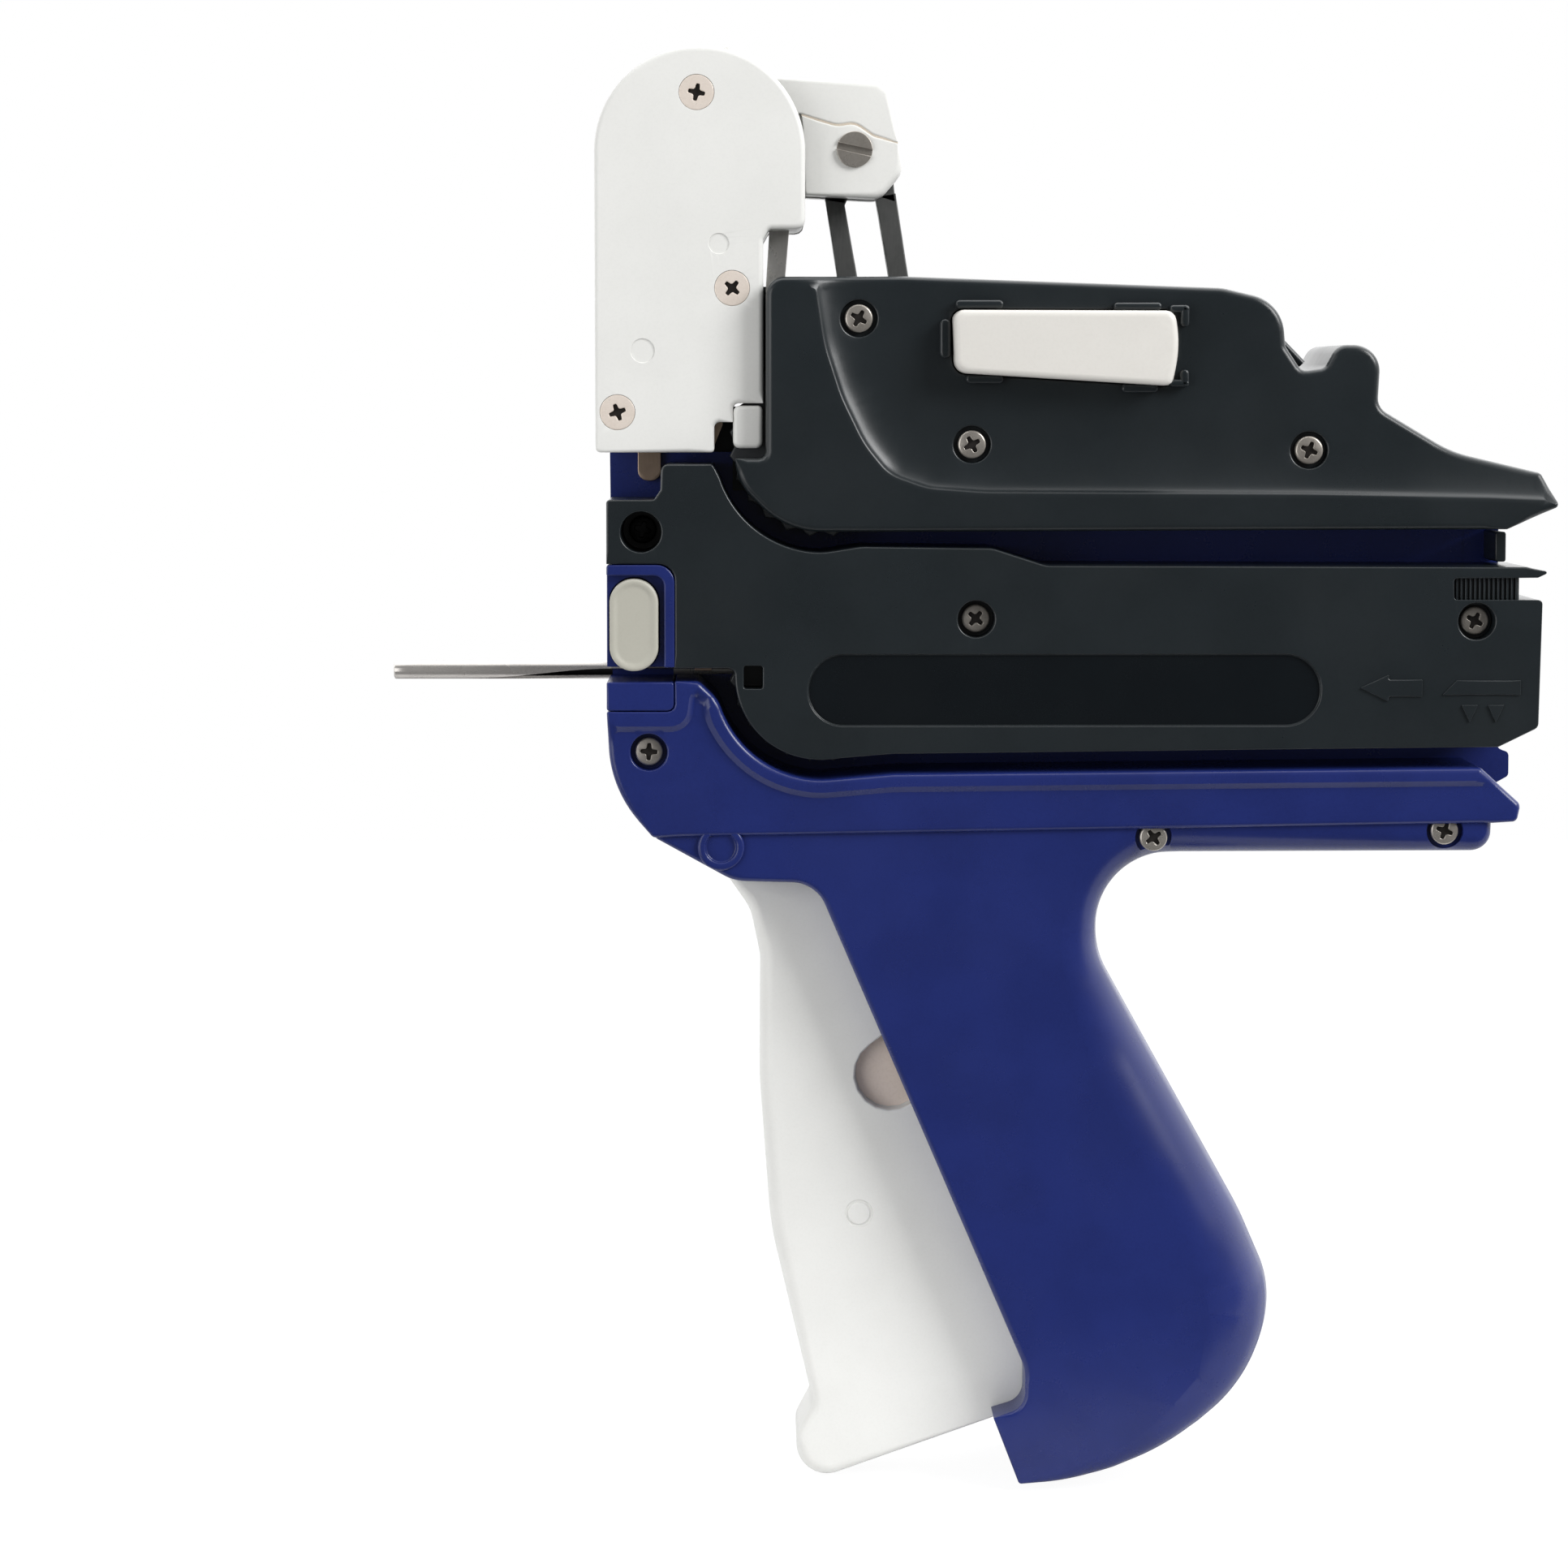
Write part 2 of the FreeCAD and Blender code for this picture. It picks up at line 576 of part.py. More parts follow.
def lower_needle_block():
    return plate(lower_block_px, near, 0).cut(needle_bore())


def needle_button():
    return plate(pill_px, near - pill_proud, near - pill_proud + pill_long)


def button_spring(place_px, low, high):
    """Space of a small coil spring behind a button, as a sleeve."""
    return ring(place_px, spring_outer_r, spring_inner_r, low, high)


def release_button():
    """Long rectangular button with a rim that keeps it in its window."""
    cap = plate(button_px, near - button_proud, button_rim_y + button_rim)
    return joined(cap, slab(grown(button_px, button_rim), button_rim_y, button_rim_y + button_rim))


# Trigger and its drive

def trigger():
    """Hollow trigger with the curved slot that the stop boss runs in."""
    body = slab(outline(trigger_px), -trigger_side, trigger_side)
    body = body.fuse(rod(trigger_pivot_px, trigger_hub_r, -trigger_side, trigger_side))
    inner = trigger_side - trigger_wall
    full_deg = trigger_swing_deg + stop_spare_deg
    slot_places = [turned(stop_slot_px, trigger_pivot_px, full_deg * step / path_steps)
                   for step in range(path_steps + 1)]
    slot = arc_slot(slot_places, stop_slot_r, trigger_side)
    kept = arc_slot(slot_places, stop_slot_r + stop_slot_wall, trigger_side)
    body = body.cut(plate(hollow_px, -inner, inner).cut(kept))
    body = body.cut(slot)
    body = body.cut(rod(trigger_pivot_px, trigger_pin_r + shaft_fit, -trigger_side, trigger_side))
    return body.cut(nose_slot()).removeSplitter()


def arc_slot(places_px, radius, half):
    """Slot swept through a row of places."""
    holes = [bar(a, b, radius, -half, half) for a, b in zip(places_px, places_px[1:])]
    return holes[0].fuse(holes[1:])


def nose_slot():
    """Slot for the lever's nose pin, from the pin's own path as the trigger sees it."""
    places = []
    for step in range(path_steps + 1):
        share = step / path_steps
        angle = lever_swing * (1 - 2 * share)
        place = (lever_pivot_px[0] + lever_nose_px * math.cos(angle),
                 lever_pivot_px[1] + lever_nose_px * math.sin(angle))
        places.append(turned(place, trigger_pivot_px, -trigger_swing_deg * share))
    holes = [bar(a, b, lever_pin_r + part_gap, trigger_side - trigger_wall - part_gap, trigger_side)
             for a, b in zip(places, places[1:])]
    return holes[0].fuse(holes[1:])


def trigger_spring():
    """Space of the trigger's torsion spring round its pin, as a sleeve."""
    start = trigger_side + part_gap
    inner = trigger_pin_r + 2 * shaft_fit
    return ring(trigger_pivot_px, inner + spring_wire, inner, start, start + spring_long)


def drive_lever():
    """Bell crank: its nose is lifted by the trigger, its long arm throws the carriage."""
    crank = bar(lever_pivot_px, lever_end_px, lever_r, lever_y, lever_y + lever_thick)
    crank = joined(crank, bar(lever_pivot_px, lever_tip_px, lever_r, lever_y, lever_y + lever_thick))
    crank = crank.cut(rod(lever_pivot_px, lever_pin_r + shaft_fit, lever_y, lever_y + lever_thick))
    return crank.cut(lever_pins())


def lever_pins():
    """Nose pin in the trigger and end pin in the carriage's fork."""
    nose = rod(lever_tip_px, lever_pin_r, trigger_side - trigger_wall, lever_y + lever_thick)
    end = rod(lever_end_px, lever_pin_r, fork_y, lever_y + lever_thick)
    return Part.makeCompound([nose, end])


def ejector_carriage():
    """Slider in the track plate's window with a fork behind it."""
    left = carriage_px - carriage_half_px
    right = carriage_px + carriage_half_px
    half_px = carriage_half_h / mm_per_px
    top = needle_row_px - half_px
    bottom = needle_row_px + half_px
    slider = block(left, top, right, bottom, -track_thick, track_thick + part_gap)
    neck = block(carriage_px - fork_half_px, top, carriage_px + fork_half_px, bottom, track_thick, fork_y)
    tines = block(carriage_px - fork_half_px, fork_top_px, carriage_px + fork_half_px, fork_bottom_px,
                  fork_y, fork_y + fork_thick)
    room_px = (lever_pin_r + fork_room) / mm_per_px
    gap = block(carriage_px - room_px, fork_top_px - carriage_half_px, carriage_px + room_px,
                lever_end_px[1] + room_px, fork_y - fork_thick, fork_y + fork_thick)
    carriage = joined(slider, neck, tines).cut(gap)
    return carriage.cut(lengthwise(ejector_r, left, carriage_px))


def ejector_rod():
    return lengthwise(ejector_r, ejector_tip_px, carriage_px)


# Head

def head_plate_front():
    """Near white plate with three countersunk screw holes."""
    front = plate(head_px, head_near, head_near + head_plate)
    for place in head_screws_px:
        front = front.cut(head_screw(place))
    return front


def head_screw(place_px):
    """Countersunk screw, flush with the front plate."""
    cone = Part.makeCone(head_screw_r, screw_shank_r, head_screw_h, at(*place_px, head_near),
                         FreeCAD.Vector(0, 1, 0))
    return cone.fuse(rod(place_px, screw_shank_r, head_near, plate_in + head_plate / 2))


def head_screws():
    return [head_screw(place).cut(cross_cut(place, head_near)) for place in head_screws_px]


def head_plate_back():
    """Far white plate with the pillars of two screws."""
    back = plate(head_px, plate_in, head_far)
    back = back.fuse([rod(place, head_boss_r, -plate_in, plate_in) for place in head_screws_px[1:]])
    for place in head_screws_px:
        back = back.cut(rod(place, screw_shank_r, head_near, plate_in + head_plate / 2))
    return back


def head_spacer():
    """Walls between the two head plates, open where the rocker comes out."""
    walls = [plate(head_wall_px, -plate_in, plate_in), plate(head_rear_px, -plate_in, plate_in)]
    spacer = []
    for piece in walls:
        piece = piece.cut(blade_way())
        piece = piece.cut(plate(strap_px, -strap_half, strap_half))
        piece = piece.cut(plate(knife_upper_px, knife_y, knife_y + knife_thick))
        for place in head_screws_px[1:]:
            piece = piece.cut(rod(place, head_boss_r, -plate_in, plate_in))
        spacer.append(piece)
    return spacer


def rocker():
    """White rocker on a sleeve: an arm to the blade, a forked block for the link."""
    block_part = plate(rocker_px, -rocker_half, rocker_half)
    block_part = block_part.cut(plate(pocket_px, -link_half - part_gap, link_half + part_gap))
    arm_end = rocker_arm_y + rocker_arm_thick
    brow = plate(brow_px, -rocker_half - cheek_thick, -rocker_half)
    body = block_part.fuse([brow, plate(rocker_arm_px, rocker_arm_y, arm_end)])
    body = body.fuse(rod(blade_eye_px, nub_r, -blade_half, rocker_arm_y))
    body = body.cut(rod(head_screws_px[0], rocker_sleeve_r + shaft_fit, rocker_arm_y, arm_end))
    return body.cut(link_screw()).removeSplitter()


def rocker_sleeve():
    return ring(head_screws_px[0], rocker_sleeve_r, screw_shank_r, -plate_in, plate_in)


def rocker_cheek():
    """Plate on the near face of the rocker that the slotted screw holds."""
    low = -rocker_half - cheek_thick
    return plate(cheek_px, low, -rocker_half).cut(link_screw())


def link_screw():
    """Slotted screw through the cheek, the rocker and the link's eye."""
    top = -rocker_half - cheek_thick - link_screw_head_h / 2
    head = rod(link_screw_px, link_screw_head_r, top, top + link_screw_head_h)
    screw = head.fuse(rod(link_screw_px, link_screw_r, top, rocker_half - wall))
    long_px = 2 * link_screw_head_r / mm_per_px
    half_px = cross_width / 2 / mm_per_px
    across, down = link_screw_px
    floor = top + link_screw_head_h / 2
    slot = block(across - long_px, down - half_px, across + long_px, down + half_px, top, floor)
    return screw.cut(slot)


def fork_link():
    """Two dark bars on a yoke, joined by a cross bar inside the upper cover."""
    shape = plate(link_yoke_px, -link_half, link_half)
    for points in (link_left_px, link_right_px, link_cross_px):
        shape = shape.fuse(plate(points, -link_half, link_half))
    return shape.cut(rod(link_screw_px, link_eye_r, -link_half, link_half)).removeSplitter()


def transfer_blade():
    """Tan metal blade that slides down the front of the head."""
    blade = plate(blade_px, -blade_half, blade_half)
    return blade.cut(rod(blade_eye_px, nub_r + eye_room, -blade_half, blade_half))


# Export

def write(name, shape):
    """One STEP file per named piece; a list of solids becomes one group."""
    solids = shape if isinstance(shape, list) else shape.Solids
    whole = solids[0] if len(solids) == 1 else Part.makeCompound(solids)
    whole.exportStep(os.path.join("parts", name + ".step"))


def main():
    os.makedirs("parts", exist_ok=True)
    shallow = near + screw_sink
    write("grip_shell_near", grip_shell_near())
    write("grip_shell_far", grip_shell_far())
    write("track_plate", track_plate())
    write("lower_cover", lower_cover())
    write("upper_cover_near", upper_cover_near())
    write("upper_cover_far", upper_cover_far())
    write("rear_guide_post", rear_guide_post())
    write("upper_cover_screws", [pan_screw(place, shallow, shallow + screw_long) for place in upper_screws_px])
    write("lower_cover_screws", [pan_screw(place, shallow, shallow + screw_long) for place in lower_screws_px])
    write("housing_screws", [pan_screw(place, shallow, shallow + screw_long) for place in housing_screws_px])
    deep = near + screw_deep_sink
    write("deep_screw", pan_screw(deep_screw_px, deep, deep + deep_screw_long))
    write("needle", needle())
    write("needle_clamp", needle_clamp())
    write("upper_needle_block", upper_needle_block())
    write("lower_needle_block", lower_needle_block())
    write("needle_button", needle_button())
    write("needle_button_spring", button_spring(pill_spring_px, near - pill_proud + pill_long, spring_end))
    write("release_button", release_button())
    write("release_button_spring", button_spring(release_spring_px, button_rim_y + button_rim, spring_end))
    write("upper_feed_wheel", feed_wheel(upper_wheel_px))
    write("lower_feed_wheel", feed_wheel(lower_wheel_px))
    write("upper_feed_shaft", feed_shaft(upper_wheel_px))
    write("lower_feed_shaft", feed_shaft(lower_wheel_px))
    for name, points in pawls_px.items():
        write(name, plate(points, near + wall, near + wall + pawl_deep))
    write("upper_knife", plate(knife_upper_px, knife_y, knife_y + knife_thick))
    write("lower_knife", plate(knife_lower_px, knife_y, knife_y + knife_thick))
    write("trigger", trigger())
    write("trigger_pin", rod(trigger_pivot_px, trigger_pin_r, grip_near + wall / 2, grip_far - wall / 2))
    write("trigger_spring", trigger_spring())
    write("drive_lever", drive_lever())
    write("drive_lever_pin", rod(lever_pivot_px, lever_pin_r, lever_y, grip_far - wall / 2))
    write("drive_pins", lever_pins())
    write("ejector_carriage", ejector_carriage())
    write("ejector_rod", ejector_rod())
    write("head_plate_front", head_plate_front())
    write("head_plate_back", head_plate_back())
    write("head_spacer", head_spacer())
    write("head_screws", head_screws())
    write("head_strap", plate(strap_px, -strap_half, strap_half))
    write("head_latch_block", plate(latch_px, head_near, head_near + head_plate))
    write("rocker", rocker())
    write("rocker_sleeve", rocker_sleeve())
    write("rocker_cheek", rocker_cheek())
    write("link_screw", link_screw())
    write("fork_link", fork_link())
    write("transfer_blade", transfer_blade())


main()
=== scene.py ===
import json
import math

import bpy
import numpy as np
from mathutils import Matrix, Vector
from mathutils.geometry import delaunay_2d_cdt


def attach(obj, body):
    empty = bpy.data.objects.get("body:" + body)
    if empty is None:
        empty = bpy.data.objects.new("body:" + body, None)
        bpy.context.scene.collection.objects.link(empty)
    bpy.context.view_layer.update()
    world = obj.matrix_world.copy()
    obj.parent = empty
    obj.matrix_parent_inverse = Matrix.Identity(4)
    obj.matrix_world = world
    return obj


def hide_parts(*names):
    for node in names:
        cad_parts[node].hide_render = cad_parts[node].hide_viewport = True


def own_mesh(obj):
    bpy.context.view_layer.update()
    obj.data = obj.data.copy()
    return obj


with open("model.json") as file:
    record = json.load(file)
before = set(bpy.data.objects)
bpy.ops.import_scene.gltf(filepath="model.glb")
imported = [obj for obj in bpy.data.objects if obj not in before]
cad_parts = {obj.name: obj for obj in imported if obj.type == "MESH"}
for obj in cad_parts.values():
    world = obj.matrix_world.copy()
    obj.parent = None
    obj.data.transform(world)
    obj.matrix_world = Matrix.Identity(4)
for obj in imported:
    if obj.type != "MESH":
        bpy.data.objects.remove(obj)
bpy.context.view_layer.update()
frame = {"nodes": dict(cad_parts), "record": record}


# Camera: it stands before the near side of the tool, a little above its middle, and looks slightly down.
# Places are steps across and down on a square drawing frame, scaled by the body's length.

body_long = 0.1289
body_steps = 1160
step = body_long / body_steps
frame_steps = 1932
origin_step = (1330, 1440)
near_face = -0.0155
eye_step = (930, 470)
eye_distance = 0.560
look_step = (966, 805)
focal_steps = 5113
frame_shift = -0.08
sensor_mm = 36.0
clip_near = 0.01
clip_far = 20


def at(points):
    """Places of the drawing frame, steps across and down, as metres across and up."""
    points = np.atleast_2d(np.asarray(points, float))
    return np.column_stack([(points[:, 0] - origin_step[0]) * step, (origin_step[1] - points[:, 1]) * step])


looked_at = at([look_step])[0]
eye = at([eye_step])[0]
target = Vector((looked_at[0], near_face, looked_at[1]))
camera_place = Vector((eye[0], near_face - eye_distance, eye[1]))
look = target - camera_place
lens = bpy.data.cameras.new("camera")
lens.sensor_width = sensor_mm
lens.lens = sensor_mm * focal_steps / frame_steps
lens.shift_y = frame_shift
lens.clip_start = clip_near
lens.clip_end = clip_far
camera = bpy.data.objects.new("camera", lens)
camera.location = camera_place
camera.rotation_euler = look.to_track_quat("-Z", "Y").to_euler()
bpy.context.scene.collection.objects.link(camera)
bpy.context.scene.camera = camera
bpy.context.scene.view_settings.view_transform = "Standard"


# Shader words, used by the room and by every finish: sums on a socket add nodes, and one call adds any
# other node.

class Value:
    """One socket of a node tree; arithmetic on it adds Math nodes."""

    def __init__(self, tree, socket):
        self.tree = tree
        self.socket = socket

    def maths(self, operation, first, second):
        return node(self.tree, "ShaderNodeMath", {"operation": operation}, {0: first, 1: second})

    def __add__(self, other):
        return self.maths("ADD", self, other)

    def __sub__(self, other):
        return self.maths("SUBTRACT", self, other)

    def __rsub__(self, other):
        return self.maths("SUBTRACT", other, self)

    def __mul__(self, other):
        return self.maths("MULTIPLY", self, other)

    __radd__ = __add__
    __rmul__ = __mul__

    def between(self, low, high):
        """0 below low, 1 above high, smooth between them."""
        settings = {"interpolation_type": "SMOOTHSTEP"}
        return node(self.tree, "ShaderNodeMapRange", settings, {0: self, 1: low, 2: high})


def node(tree, kind, settings, inputs, output=0):
    """Adds a node, sets its settings, then fills its sockets with numbers, colours or other sockets."""
    made = tree.nodes.new(kind)
    for name, setting in settings.items():
        setattr(made, name, setting)
    for name, value in inputs.items():
        if isinstance(value, Value):
            tree.links.new(value.socket, made.inputs[name])
        else:
            made.inputs[name].default_value = value
    return Value(tree, made.outputs[output])


def blend_colour(tree, share, first, second):
    return node(tree, "ShaderNodeMix", {"data_type": "RGBA"}, {0: share, 6: first, 7: second}, 2)


# Room: a pale floor under the tool and an even white surround, darker behind the camera as in a studio.
# Camera, glossy and transmitted rays see the white; the floor keeps a faint shadow.

floor_level = at([(0, 1842)])[0][1]
floor_side = 0.55
floor_near = -0.06
floor_far = 0.8
floor_grey = 0.86
floor_glow = 1.1
front_light = 0.29
surround_light = 0.35
front_shine = 0.10
backdrop_shine = 1.6
above_shine = 1.8

world = bpy.data.worlds.new("room")
world.use_nodes = True
bpy.context.scene.world = world
tree = world.node_tree
background = tree.nodes["Background"]
direction = node(tree, "ShaderNodeTexCoord", {}, {}, "Generated")
depthwise = node(tree, "ShaderNodeSeparateXYZ", {}, {0: direction}, "Y")
upwards = node(tree, "ShaderNodeSeparateXYZ", {}, {0: direction}, "Z")
rays = tree.nodes.new("ShaderNodeLightPath").outputs
seen = Value(tree, rays["Is Camera Ray"])
shiny = Value(tree, rays["Is Glossy Ray"]) + Value(tree, rays["Is Transmission Ray"])
backdrop = depthwise.between(-0.5, 0.1) * backdrop_shine
overhead = upwards.between(0.2, 0.85) * depthwise.between(-0.65, -0.25) * above_shine
shine = backdrop + overhead + front_shine
soft = depthwise.between(-0.9, -0.3) * surround_light + front_light
soft = soft * (upwards.between(-0.6, 0.9) * 0.4 + 0.8)
level = seen + shiny * shine + (1 - seen) * (1 - shiny) * soft
tree.links.new(level.socket, background.inputs["Strength"])
background.inputs["Color"].default_value = (1.0, 1.0, 1.0, 1.0)

floor_mesh = bpy.data.meshes.new("floor")
corners = ((-floor_side, floor_near), (floor_side, floor_near),
           (floor_side, floor_far), (-floor_side, floor_far))
floor_mesh.from_pydata([(x, y, floor_level) for x, y in corners], [], [(0, 1, 2, 3)])
floor = bpy.data.objects.new("floor", floor_mesh)
bpy.context.scene.collection.objects.link(floor)
floor_finish = bpy.data.materials.new("floor")
floor_finish.use_nodes = True
tree = floor_finish.node_tree
tree.nodes.remove(tree.nodes["Principled BSDF"])
rays = tree.nodes.new("ShaderNodeLightPath").outputs
bright = Value(tree, rays["Is Camera Ray"]) * floor_grey
glow = node(tree, "ShaderNodeEmission", {}, {"Color": (1, 1, 1, 1), "Strength": floor_glow})
matt = node(tree, "ShaderNodeBsdfDiffuse", {}, {"Color": (floor_grey, floor_grey, floor_grey, 1)})
mixed = node(tree, "ShaderNodeMixShader", {}, {0: bright, 1: matt, 2: glow})
tree.links.new(mixed.socket, tree.nodes["Material Output"].inputs["Surface"])
floor_mesh.materials.append(floor_finish)

# Lamps: place, size and power of three soft boxes
lamps = {"key": ((0.95, -0.65, 0.75), 0.6, 16.0),
         "fill": ((-0.85, -0.75, 0.1), 0.8, 5.0),
         "rim": ((0.5, 0.7, 0.9), 0.7, 2.0)}
for name, (place, size, power) in lamps.items():
    lamp = bpy.data.lights.new(name, "AREA")
    lamp.size = size
    lamp.energy = power
    lamp_object = bpy.data.objects.new(name, lamp)
    lamp_object.location = place
    lamp_object.rotation_euler = (target - Vector(place)).to_track_quat("-Z", "Y").to_euler()
    bpy.context.scene.collection.objects.link(lamp_object)


# Blue housing: two injection-moulded halves of satin ABS, screwed together from the near side. The near
# half carries the band under the lower feed slot; both halves make the grip, rounded at the back.

mm = 1e-3
grain = 0.35 * mm
arc_run = 0.35 * mm
arc_least = 4
arc_most = 30
fit_rounds = 80
patch = 17 * mm
sharp_corner = 40


def new_finish(name):
    """Material with its tree, its shader and a place vector in the object's own metres."""
    finish = bpy.data.materials.new(name)
    finish["slot"] = name
    finish.use_nodes = True
    tree = finish.node_tree
    return finish, tree, tree.nodes["Principled BSDF"], node(tree, "ShaderNodeTexCoord", {}, {}, "Object")


def noise(tree, place, size, detail=4.0):
    return node(tree, "ShaderNodeTexNoise", {}, {"Vector": place, "Scale": 1 / size, "Detail": detail})


def dress(tree, shader, shade, roughness, relief, depth):
    """Joins a colour, a roughness and a relief of the given depth to a shader."""
    bump = node(tree, "ShaderNodeBump", {}, {"Strength": 1.0, "Distance": depth, "Height": relief},
                "Normal")
    for name, value in {"Base Color": shade, "Roughness": roughness, "Normal": bump}.items():
        tree.links.new(value.socket, shader.inputs[name])


def plastic(name, colour, deep, rough, grain_height=0.004 * mm, mottle=12 * mm, wear=0.25, shine=0.5):
    """Moulded plastic: two close shades in soft clouds, a fine eroded grain and rubbed, shinier patches."""
    finish, tree, shader, place = new_finish(name)
    shader.inputs["Specular IOR Level"].default_value = shine
    clouds = noise(tree, place, mottle)
    specks = noise(tree, place, grain, 3.0)
    patches = noise(tree, place, patch, 6.0)
    share = clouds.between(0.35, 0.65) * 0.6 + specks.between(0.4, 0.75) * 0.4
    rubbed = patches.between(0.35, 0.7) * (rough * wear)
    roughness = rubbed + specks * (rough * 0.1) + rough * (1 - wear * 0.5)
    dress(tree, shader, blend_colour(tree, share, colour, deep), roughness, specks, grain_height)
    return finish


def spokes(angle):
    return np.column_stack([np.cos(angle), np.sin(angle)])


def outline(points, edge=0.3, run=1.5 * mm, change=0.5):
    """Closed curve, anticlockwise, through places with rounded corners; every point has an edge radius.

    A place is steps across and down, a corner radius in steps and its own edge radius in millimetres;
    the last two may be left out. Each corner is an arc that touches both its sides and, where it sticks
    out, is no smaller than its edge. Each side is divided into equal runs, over which the edge radius
    changes evenly, and nowhere by more than the given change per length.
    """
    here = at([point[:2] for point in points])
    radii = np.array([point[2] * step if len(point) > 2 else 0.0 for point in points])
    edges = np.array([point[3] if len(point) > 3 else edge for point in points]) * mm
    if np.sum(here[:, 0] * np.roll(here[:, 1], -1) - here[:, 1] * np.roll(here[:, 0], -1)) < 0:
        here, radii, edges = here[::-1], radii[::-1], edges[::-1]
    back = np.roll(here, 1, 0) - here
    ahead = np.roll(here, -1, 0) - here
    back_long = np.linalg.norm(back, axis=1)
    ahead_long = np.linalg.norm(ahead, axis=1)
    back /= back_long[:, None]
    ahead /= ahead_long[:, None]
    sticks_out = back[:, 1] * ahead[:, 0] - back[:, 0] * ahead[:, 1] < 0
    radii = np.maximum(radii, np.where(sticks_out, edges + 0.05 * mm, 0.1 * mm))
    half = np.arccos(np.clip(np.sum(back * ahead, 1), -0.99999, 1)) / 2
    reach = radii / np.tan(half)
    spare = 0.99 * ahead_long / np.maximum(reach + np.roll(reach, -1), 0.99 * ahead_long)
    reach *= np.minimum(spare, np.roll(spare, 1))
    radii = reach * np.tan(half)
    inner = back + ahead
    inner /= np.maximum(np.linalg.norm(inner, axis=1), 1e-9)[:, None]
    centre = here + inner * (radii / np.sin(half))[:, None]
    start = here + back * reach[:, None] - centre
    end = here + ahead * reach[:, None] - centre
    first = np.arctan2(start[:, 1], start[:, 0])
    turn = (np.arctan2(end[:, 1], end[:, 0]) - first + math.pi) % (2 * math.pi) - math.pi
    rows = []
    for index in range(len(here)):
        many = int(np.clip(abs(turn[index]) * radii[index] / arc_run, arc_least, arc_most))
        angle = first[index] + turn[index] * np.linspace(0, 1, many)
        arc = centre[index] + radii[index] * spokes(angle)
        rows.append(np.column_stack([arc, np.full(many, edges[index])]))
        after = (index + 1) % len(here)
        leave = np.append(centre[index] + end[index], edges[index])
        arrive = np.append(centre[after] + start[after], edges[after])
        pieces = max(int(np.linalg.norm(arrive - leave) / run), 1)
        rows.append(leave + (arrive - leave) * np.linspace(0, 1, pieces + 1)[1:-1, None])
    curve = np.vstack(rows)
    curve = curve[np.linalg.norm((curve - np.roll(curve, 1, 0))[:, :2], axis=1) > 2e-6]
    curve[:, 2] = room(curve, change)
    return curve


def inward(curve):
    """Unit normals to the inside of an anticlockwise curve, longer at corners so that sides stay true."""
    curve = curve[:, :2]
    ahead = np.roll(curve, -1, 0) - curve
    ahead /= np.linalg.norm(ahead, axis=1)[:, None]
    side = np.column_stack([-ahead[:, 1], ahead[:, 0]])
    before = np.roll(side, 1, 0)
    return (side + before) / np.maximum(1 + np.sum(side * before, 1), 0.3)[:, None]


def inside(points, curve):
    """True where a point lies inside a closed curve: an odd number of its sides lie to the right."""
    x, z = points[:, :1], points[:, 1:2]
    x0, z0 = curve[:, 0], curve[:, 1]
    x1, z1 = np.roll(x0, -1), np.roll(z0, -1)
    rise = np.where(z1 == z0, 1e-12, z1 - z0)
    crosses = ((z0 > z) != (z1 > z)) & (x < x0 + (z - z0) * (x1 - x0) / rise)
    return crosses.sum(1) % 2 == 1


def distance(points, curve, closed=True):
    """Shortest distance from each point to a curve's sides."""
    start = curve if closed else curve[:-1]
    along = (np.roll(curve, -1, 0) if closed else curve[1:]) - start
    long2 = np.maximum(np.sum(along ** 2, 1), 1e-18)
    best = np.full(len(points), np.inf)
    batch = 2000
    for begin in range(0, len(points), batch):
        some = points[begin:begin + batch, None, :] - start
        share = np.clip(np.sum(some * along, 2) / long2, 0, 1)
        best[begin:begin + batch] = np.linalg.norm(some - along * share[:, :, None], axis=2).min(1)
    return best


def crossed(ring):
    """True at each side of a closed ring that crosses another side of it."""
    along = np.roll(ring, -1, 0) - ring
    apart = ring[None] - ring[:, None]
    starts = along[:, None, 0] * apart[:, :, 1] - along[:, None, 1] * apart[:, :, 0]
    ends = np.roll(starts, -1, 1)
    parted = starts * ends < 0
    return (parted & parted.T).any(1)


def room(curve, change=0.5):
    """Edge radii that fit: an inset point keeps its own radius to every side, and radii change gently."""
    normal = inward(curve)
    fits = np.ones(len(curve), bool)
    radius = np.zeros(len(curve))
    for share in np.linspace(0.05, 1, 20):
        wanted = curve[:, 2] * share
        clear = distance(curve[:, :2] + normal * wanted[:, None], curve[:, :2])
        fits &= clear > 0.97 * wanted - 1e-7
        radius = np.where(fits, wanted, radius)
    long = np.linalg.norm((np.roll(curve, -1, 0) - curve)[:, :2], axis=1) * change
    for repeat in range(fit_rounds):
        radius = np.minimum(radius, np.minimum(np.roll(radius, -1) + long, np.roll(radius + long, 1)))
        bad = crossed(curve[:, :2] + normal * radius[:, None])
        radius[bad | np.roll(bad, 1)] *= 0.8
    return radius


